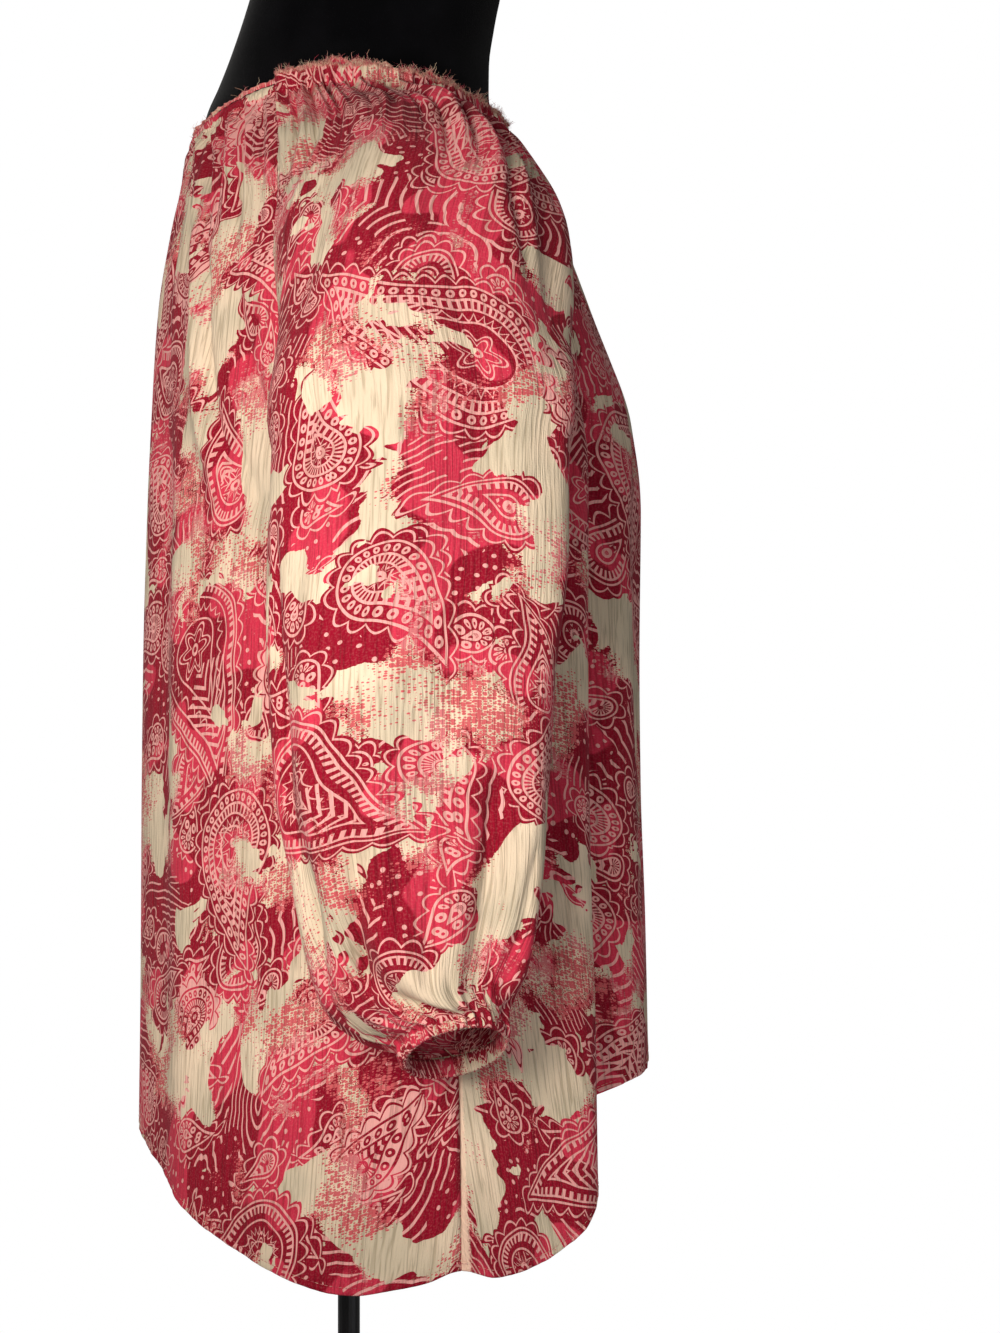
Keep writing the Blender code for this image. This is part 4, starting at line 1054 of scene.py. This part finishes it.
frontPanel = makeSheet("frontPanel", frontPoints, frontUV, printedRaw, bodyMiddle,
                       raw=edgeFar(runs(frontPoints), frontPoints))
backPanel = makeSheet("backPanel", backPoints, backUV, printed, bodyMiddle)
sleeveRight = makeSheet("sleeveRight", rightPoints, rightUV, printedRaw, sleeveMiddle,
                        raw=edgeFar(runs(rightPoints)))
sleeveLeft = makeSheet("sleeveLeft", leftPoints, leftUV, printedRaw, sleeveMiddle * mirror,
                       raw=edgeFar(runs(leftPoints)))
for piece, slotName, node in ((frontPanel, "front_cloth", "front"), (backPanel, "back_cloth", "back"),
                              (sleeveRight, "sleeve_cloth", "sleeve_right"),
                              (sleeveLeft, "sleeve_cloth", "sleeve_left")):
    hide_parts(node)
print("panels made")


def ringUV(around, across, stretch, shift):
    # the flat place of a band that runs right round: along it, and across it
    u = shift[0] + np.linspace(0, 1, around.shape[1] + 1)[None, :] * stretch
    v = shift[1] + across
    v = np.concatenate([v, v[:, :1]], axis=1)
    return np.stack([u + 0 * v, v], axis=-1)


def tucks(share, count, seed, unevenness=0.9):
    phase = 2 * math.pi * count * share + unevenness * wander(share, seed, 10)
    return np.cos(phase) * (0.75 + 0.25 * wander(share, seed + 3.3, 20))


# the neckline is a strip rolled round a narrow elastic; it twists a little over the back
neck = {"height": 0.0066, "thick": 0.0036, "tucks": 118, "perTuck": 7, "tuckDepth": 0.0005, "twist": 2.3,
        "cord": 0.12, "rolledFrom": (-115, 262, 17), "cloth": 0.86}
frill = {"tall": 0.0098, "flatTall": 0.0085, "rows": 14, "tucks": 83, "perTuck": 10, "wave": 0.0004,
         "swing": 0.0006, "lean": -0.0004, "curl": 0.0012, "crumple": 0.0007, "lag": 0.004, "backTuck": 0.74}


def makeCasing():
    n = neck
    columns = n["tucks"] * n["perTuck"]
    share = np.arange(columns) / columns
    turn = share * 360
    ring, out = neckRing(turn)
    middle = ring + upward * (cloth["seamGap"] + n["height"] / 2)
    back = atBack(turn)
    around = np.radians(np.linspace(*n["rolledFrom"]))[:, None]
    lag = n["twist"] * back * np.sin(around / 2) / n["tucks"] * 1.6
    wave = tucks((share + lag) % 1, n["tucks"], 0.3)
    size = 1 + n["cord"] * np.cos(3 * around + 0.7) * back
    across = n["thick"] / 2 * np.cos(around) * size + n["tuckDepth"] * wave * np.sign(np.cos(around))
    points = middle[None] + out[None] * across[..., None]
    points[..., 2] += n["height"] / 2 * np.sin(around) * size
    flat = ringUV(points, -runs(points), n["cloth"], (4.0, 0.3))
    piece = makeSheet("neckCasing", points, flat, printed, middle[None], ring=True)
    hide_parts("neck_casing")
    return piece


def makeFrill():
    # the raw edge that stands above the casing: crumpled, uneven, tucked in over the back
    n, f = neck, frill
    columns = f["tucks"] * f["perTuck"]
    share = np.arange(columns) / columns
    turn = share * 360
    ring, out = neckRing(turn)
    back = atBack(turn)
    tall = 0.74 + 0.20 * wander(share, 0.6, 10) + 0.14 * wander(share, 1.9, 40)
    tall = f["tall"] * (tall + 0.05 * wander(share, 0.2, 130)) * (1 - f["backTuck"] * back)
    ups = np.linspace(0, 1, f["rows"])
    rows = []
    for up in ups:
        lag = f["lag"] * up * wander(share, 3.3, 10)
        wave = 0.6 * tucks((share + lag) % 1, f["tucks"], 1.7, 3.4) + 0.6 * tucks(share, 47, 0.2, 3.0)
        crumple = f["crumple"] * wander(share, 4.2 + 1.3 * up, 60) * ease(up / 0.5)
        swing = wave * (f["wave"] + f["swing"] * up) + crumple
        swing = swing + f["lean"] * up * (1 - 2.2 * back) + f["curl"] * up * up * wander(share, 6.2, 20)
        height = cloth["seamGap"] * 3 + n["height"] + up * tall
        rows.append(ring + out * swing[:, None] + upward * height[:, None])
    points = np.array(rows)
    down = (1 - ups[:, None]) * tall[None, :]
    flat = ringUV(points, f["flatTall"] - down, n["cloth"], (4.0, 0.34))
    raw = edgeFar(np.concatenate([down, down[:, :1]], axis=1))
    piece = makeSheet("rawFrill", points, flat, printedRaw, np.array([0, 0, 0.93]), ring=True, raw=raw)
    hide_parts("neck_frill")
    return piece, points


# kinds: count, shortest, typical length past that, steps, how much they bend
threads = {"kinds": {"Long": (1500, 0.0020, 0.0018, 5, 0.42), "Short": (6000, 0.0010, 0.0010, 3, 0.5)},
           "longest": 0.0085, "rooted": (0.0002, 0.0018), "thick": 0.00014, "taper": 0.55, "seed": 7,
           "shades": ("#B8404F", "#D0706F", "#DFA393", "#E8C3A8", "#CDA287", "#C45560", "#E3CBAA")}


def threadMaterial():
    # polyester yarn pulled out of the weave: each one took its own part of the print
    material, put = newMaterial("frayed polyester yarn")
    own = put("SeparateXYZ", [put("UVMap", uv_map="thread")])
    node = put("ValToRGB", [own], out=None)
    shades = threads["shades"]
    setStops(node.color_ramp, [(k / len(shades), hexColour(shade)) for k, shade in enumerate(shades)])
    shader = put("BsdfPrincipled", {"Base Color": node.outputs[0], "Roughness": 0.7})
    put("OutputMaterial", [shader])
    return material


def makeThreads(name, roots, ways, lengths, thick, steps, spread, random):
    # many three-sided tapering strands in one mesh; each bends a little more at every step
    count = len(roots)
    ways = unit(ways)
    path = [roots]
    way = ways
    for _ in range(steps):
        way = unit(way + random.normal(0, spread, (count, 3)))
        path.append(path[-1] + way * (lengths / steps)[:, None])
    side = unit(np.cross(ways, random.normal(0, 1, (count, 3))))
    other = np.cross(ways, side)
    rings = []
    for k in range(steps + 1):
        size = thick * (1 - threads["taper"] * k / steps)
        for a in (0, 2 * math.pi / 3, 4 * math.pi / 3):
            rings.append(path[k] + (side * math.cos(a) + other * math.sin(a)) * size)
    points = np.array(rings).transpose(1, 0, 2)
    width = 3 * (steps + 1)
    base = np.arange(count)[:, None] * width
    quads = []
    for low in range(0, 3 * steps, 3):
        for a, b in ((0, 1), (1, 2), (2, 0)):
            quads.append(base + np.array([[low + a, low + b, low + 3 + b, low + 3 + a]]))
    ends = [base + np.array([end]) for end in ([2, 1, 0], [width - 3, width - 2, width - 1])]
    mesh = bpy.data.meshes.new(name)
    faces = np.concatenate(quads).tolist() + np.concatenate(ends).tolist()
    mesh.from_pydata(points.reshape(-1, 3).tolist(), [], faces)
    shade = random.random(count)
    corner = np.empty(len(mesh.loops), dtype=np.int32)
    mesh.loops.foreach_get("vertex_index", corner)
    u = shade[corner // width]
    flat = np.stack([u, np.full(len(u), 0.5)], axis=1).reshape(-1).astype(np.float32)
    mesh.uv_layers.new(name="thread").data.foreach_set("uv", flat)
    mesh.shade_smooth()
    return addObject(name, mesh)


def frayEdges(edges):
    # edges: the points along each raw edge, those a little below them, and how much of it frays
    t = threads
    random = np.random.default_rng(t["seed"])
    made = []
    roots, below, weight = (np.concatenate(part) for part in zip(*edges))
    nexts = np.concatenate([np.roll(edge[0], -1, axis=0) for edge in edges])
    for kind, (count, low, typical, steps, spread) in t["kinds"].items():
        k = random.choice(len(roots), count, p=weight / weight.sum())
        up = unit(roots[k] - below[k])
        along = unit(nexts[k] - roots[k])
        outside = unit(roots[k] * np.array([1, 1, 0]))
        ways = up + along * random.normal(0, 0.8, (count, 1)) + outside * random.normal(0.3, 0.5, (count, 1))
        lengths = np.minimum(low + random.exponential(typical, count), t["longest"])
        start = roots[k] - up * random.uniform(*t["rooted"], (count, 1))
        made.append(makeThreads("fray" + kind, start, ways, lengths, t["thick"], steps, spread, random))
    bpy.ops.object.select_all(action="DESELECT")
    for piece in made:
        piece.select_set(True)
    bpy.context.view_layer.objects.active = made[0]
    bpy.ops.object.join()
    piece = made[0]
    piece.name = piece.data.name = "frayedThreads"
    piece.data.materials.append(yarn)
    piece.select_set(False)
    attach(piece, "root")
    return piece


def hemStitches(name, line):
    # one row of short machine stitches above the hem
    s = seam
    walk = runs(line[:, None])[:, 0]
    starts = np.arange(0.002, walk[-1] - 0.003, s["stitchPitch"])
    at = [np.stack([np.interp(spots, walk, line[:, k]) for k in range(3)], axis=1)
          for spots in (starts, starts + s["stitchLong"])]
    lengths = np.full(len(starts), s["stitchLong"])
    random = np.random.default_rng(s["seed"])
    piece = makeThreads(name, at[0], at[1] - at[0], lengths, s["stitchThick"], 2, 0.0, random)
    piece.data.materials.append(yarn)
    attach(piece, "root")
    return piece


def makeCuff(name, node, turnOver, shift):
    c = cuff
    columns = c["tucks"] * c["perTuck"]
    share = np.arange(columns) / columns
    ring = sleevePoint(wrist, share * 360 - 180)
    out, drop = cuffWays(ring, ring.mean(axis=0))
    wave = tucks(share, c["tucks"], 0.9)
    tall = cuffFall(share * 360 - 180)
    rows = []
    for down, swell in c["profile"]:
        side = 1 if swell > 0 else -0.6
        push = swell + side * c["tuckDepth"] * wave + 0.0002 * wander(share, down * 3, 30)
        fall = c["gap"] + down * (tall - c["gap"]) + 0.0003 * wave * (down > 0.9)
        rows.append(ring + out * push[:, None] + drop * fall[:, None])
    points = np.array(rows)
    centreLine = points.mean(axis=0, keepdims=True)
    flat = ringUV(points, -runs(points), c["cloth"], shift)
    if turnOver:
        points, centreLine = points * mirror, centreLine * mirror
    piece = makeSheet(name, points, flat, printed, centreLine, ring=True)
    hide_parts(node)
    return piece


neckCasing = makeCasing()
rawFrill, frillPoints = makeFrill()
yarn = threadMaterial()
turn = np.arange(frillPoints.shape[1]) / frillPoints.shape[1]
tufts = np.clip((1 - 0.93 * atBack(turn * 360)) * (0.45 + 0.5 * wander(turn, 0.9, 10)), 0.02, None)
rawEdges = [(frillPoints[-1], frillPoints[-3], tufts)]
under = len(seam["steps"])
for grid in (frontPoints, rightPoints, leftPoints):
    share = np.linspace(0, 1, grid.shape[1] - 2 * under)
    tufts = 1.6 * np.clip(0.5 + 0.5 * wander(share, 0.9, 5), 0.05, None)
    rawEdges.append((grid[0, under:-under], grid[2, under:-under], tufts))
frayedThreads = frayEdges(rawEdges)
frontStitches = hemStitches("frontStitches", frontHem)
backStitches = hemStitches("backStitches", backHem)
cuffRight = makeCuff("cuffRight", "cuff_right", False, (2.0, 0.44))
cuffLeft = makeCuff("cuffLeft", "cuff_left", True, (3.0, 0.94))
print("neckline and cuffs made")


# the dress form: foam covered in black velvet
# each section: height, half width, y front, y back, squareness
formSections = np.array([
    (0.375, 0.138, -0.106, 0.080, 2.2), (0.379, 0.150, -0.118, 0.092, 2.2),
    (0.395, 0.156, -0.124, 0.098, 2.2), (0.450, 0.158, -0.126, 0.100, 2.2),
    (0.530, 0.146, -0.116, 0.092, 2.1), (0.600, 0.126, -0.106, 0.080, 2.1),
    (0.660, 0.132, -0.122, 0.085, 2.1), (0.700, 0.141, -0.141, 0.092, 2.2),
    (0.735, 0.148, -0.151, 0.097, 2.3), (0.770, 0.151, -0.146, 0.100, 2.3),
    (0.810, 0.153, -0.128, 0.100, 2.1), (0.840, 0.152, -0.114, 0.097, 2.0),
    (0.862, 0.147, -0.105, 0.094, 1.8), (0.880, 0.139, -0.099, 0.092, 1.7),
    (0.894, 0.127, -0.0945, 0.0905, 1.7), (0.906, 0.112, -0.0905, 0.0890, 1.8),
    (0.917, 0.098, -0.0880, 0.0872, 1.9), (0.928, 0.090, -0.0858, 0.0845, 2.0),
    (0.942, 0.082, -0.0838, 0.0785, 2.0), (0.960, 0.075, -0.0840, 0.0715, 2.0),
    (0.985, 0.071, -0.0875, 0.0630, 2.0), (1.012, 0.070, -0.0920, 0.0550, 2.0),
    (1.030, 0.068, -0.0910, 0.0500, 2.0), (1.038, 0.063, -0.0850, 0.0440, 2.0),
    (1.041, 0.053, -0.0740, 0.0340, 2.0),
])
dressForm = {"sides": 144, "between": 4, "velvet": "#030304", "nap": "#121114", "napScale": 0.9,
             "strokedScale": 26.0, "pile": 0.0006}


def velvet():
    # cotton velvet: a short black pile that drinks light and shows a grey bloom where it turns away
    material, put = newMaterial("black velvet")
    d = dressForm
    place = put("TexCoord", out="Object")
    pile = put("TexNoise", {"Vector": place, "Scale": perMetre / d["napScale"], "Detail": 2.0})
    stroked = put("TexNoise", {"Vector": place, "Scale": d["strokedScale"], "Detail": 3.0})
    bloom = put("MapRange", [stroked, 0.45, 0.75])
    tips = put("MapRange", [pile, 0.62, 0.78, 0.0, 0.5])
    bloom = put("Math MULTIPLY_ADD", [bloom, 0.35, tips], use_clamp=True)
    colour = put("Mix", {0: bloom, 6: hexColour(d["velvet"]), 7: hexColour(d["nap"])}, **inColour)
    bump = put("Bump", {"Strength": 0.6, "Distance": d["pile"], "Height": pile})
    shader = put("BsdfPrincipled", {"Base Color": colour, "Roughness": 0.95, "Normal": bump,
                                    "Specular IOR Level": 0.05, "Sheen Weight": 0.05,
                                    "Sheen Roughness": 0.35})
    put("OutputMaterial", [shader])
    return material


def makeForm():
    sides = dressForm["sides"]
    heights = formSections[:, 0]
    fine = [np.linspace(a, b, dressForm["between"], endpoint=False) for a, b in zip(heights, heights[1:])]
    fine = np.concatenate([*fine, heights[-1:]])
    half, front, back, square = (through(formSections, k, fine)[:, None] for k in range(1, 5))
    a = np.radians(np.linspace(0, 360, sides, endpoint=False))[None, :]
    x = half * power(np.cos(a), 2 / square)
    y = (front + back) / 2 + (back - front) / 2 * power(np.sin(a), 2 / square)
    rings = np.stack([x, y, np.broadcast_to(fine[:, None], x.shape)], axis=-1)
    bm = bmesh.new()
    grid = [[bm.verts.new(p) for p in ring] for ring in rings]
    for low, high in zip(grid, grid[1:]):
        for j in range(sides):
            k = (j + 1) % sides
            bm.faces.new((low[j], low[k], high[k], high[j]))
    bm.faces.new(grid[0][::-1])
    bm.faces.new(grid[-1])
    bmesh.ops.recalc_face_normals(bm, faces=bm.faces[:])
    mesh = bpy.data.meshes.new("velvetForm")
    bm.to_mesh(mesh)
    bm.free()
    mesh.materials.append(velvet())
    mesh.shade_smooth()
    piece = addObject("velvetForm", mesh)
    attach(piece, "root")
    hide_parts("form")


makeForm()
standPaint = {"paint": "#040405", "dust": "#131211", "dusty": 0.35, "peelScale": 900.0, "dustScale": 45.0}


def paintedSteel():
    # black powder coat on steel: a fine orange peel, satin, a little dust on the flat top
    material, put = newMaterial("black powder-coated steel")
    s = standPaint
    place = put("TexCoord", out="Object")
    peel = put("TexNoise", {"Vector": place, "Scale": s["peelScale"], "Detail": 1.0})
    dust = put("TexNoise", {"Vector": place, "Scale": s["dustScale"], "Detail": 5.0, "Roughness": 0.7})
    dust = put("MapRange", [dust, 0.45, 0.8, 0.0, s["dusty"]])
    colour = put("Mix", {0: dust, 6: hexColour(s["paint"]), 7: hexColour(s["dust"])}, **inColour)
    rough = put("MapRange", [dust, 0.0, s["dusty"], 0.34, 0.55])
    bump = put("Bump", {"Strength": 0.25, "Distance": 0.0002, "Height": peel})
    shader = put("BsdfPrincipled", {"Base Color": colour, "Roughness": rough, "Normal": bump,
                                    "Specular IOR Level": 0.3})
    put("OutputMaterial", [shader])
    return material


steel = paintedSteel()
for node in ("pole", "base"):
    for slot in bpy.data.objects[node].material_slots:
        slot.material = steel
print("form and stand made")
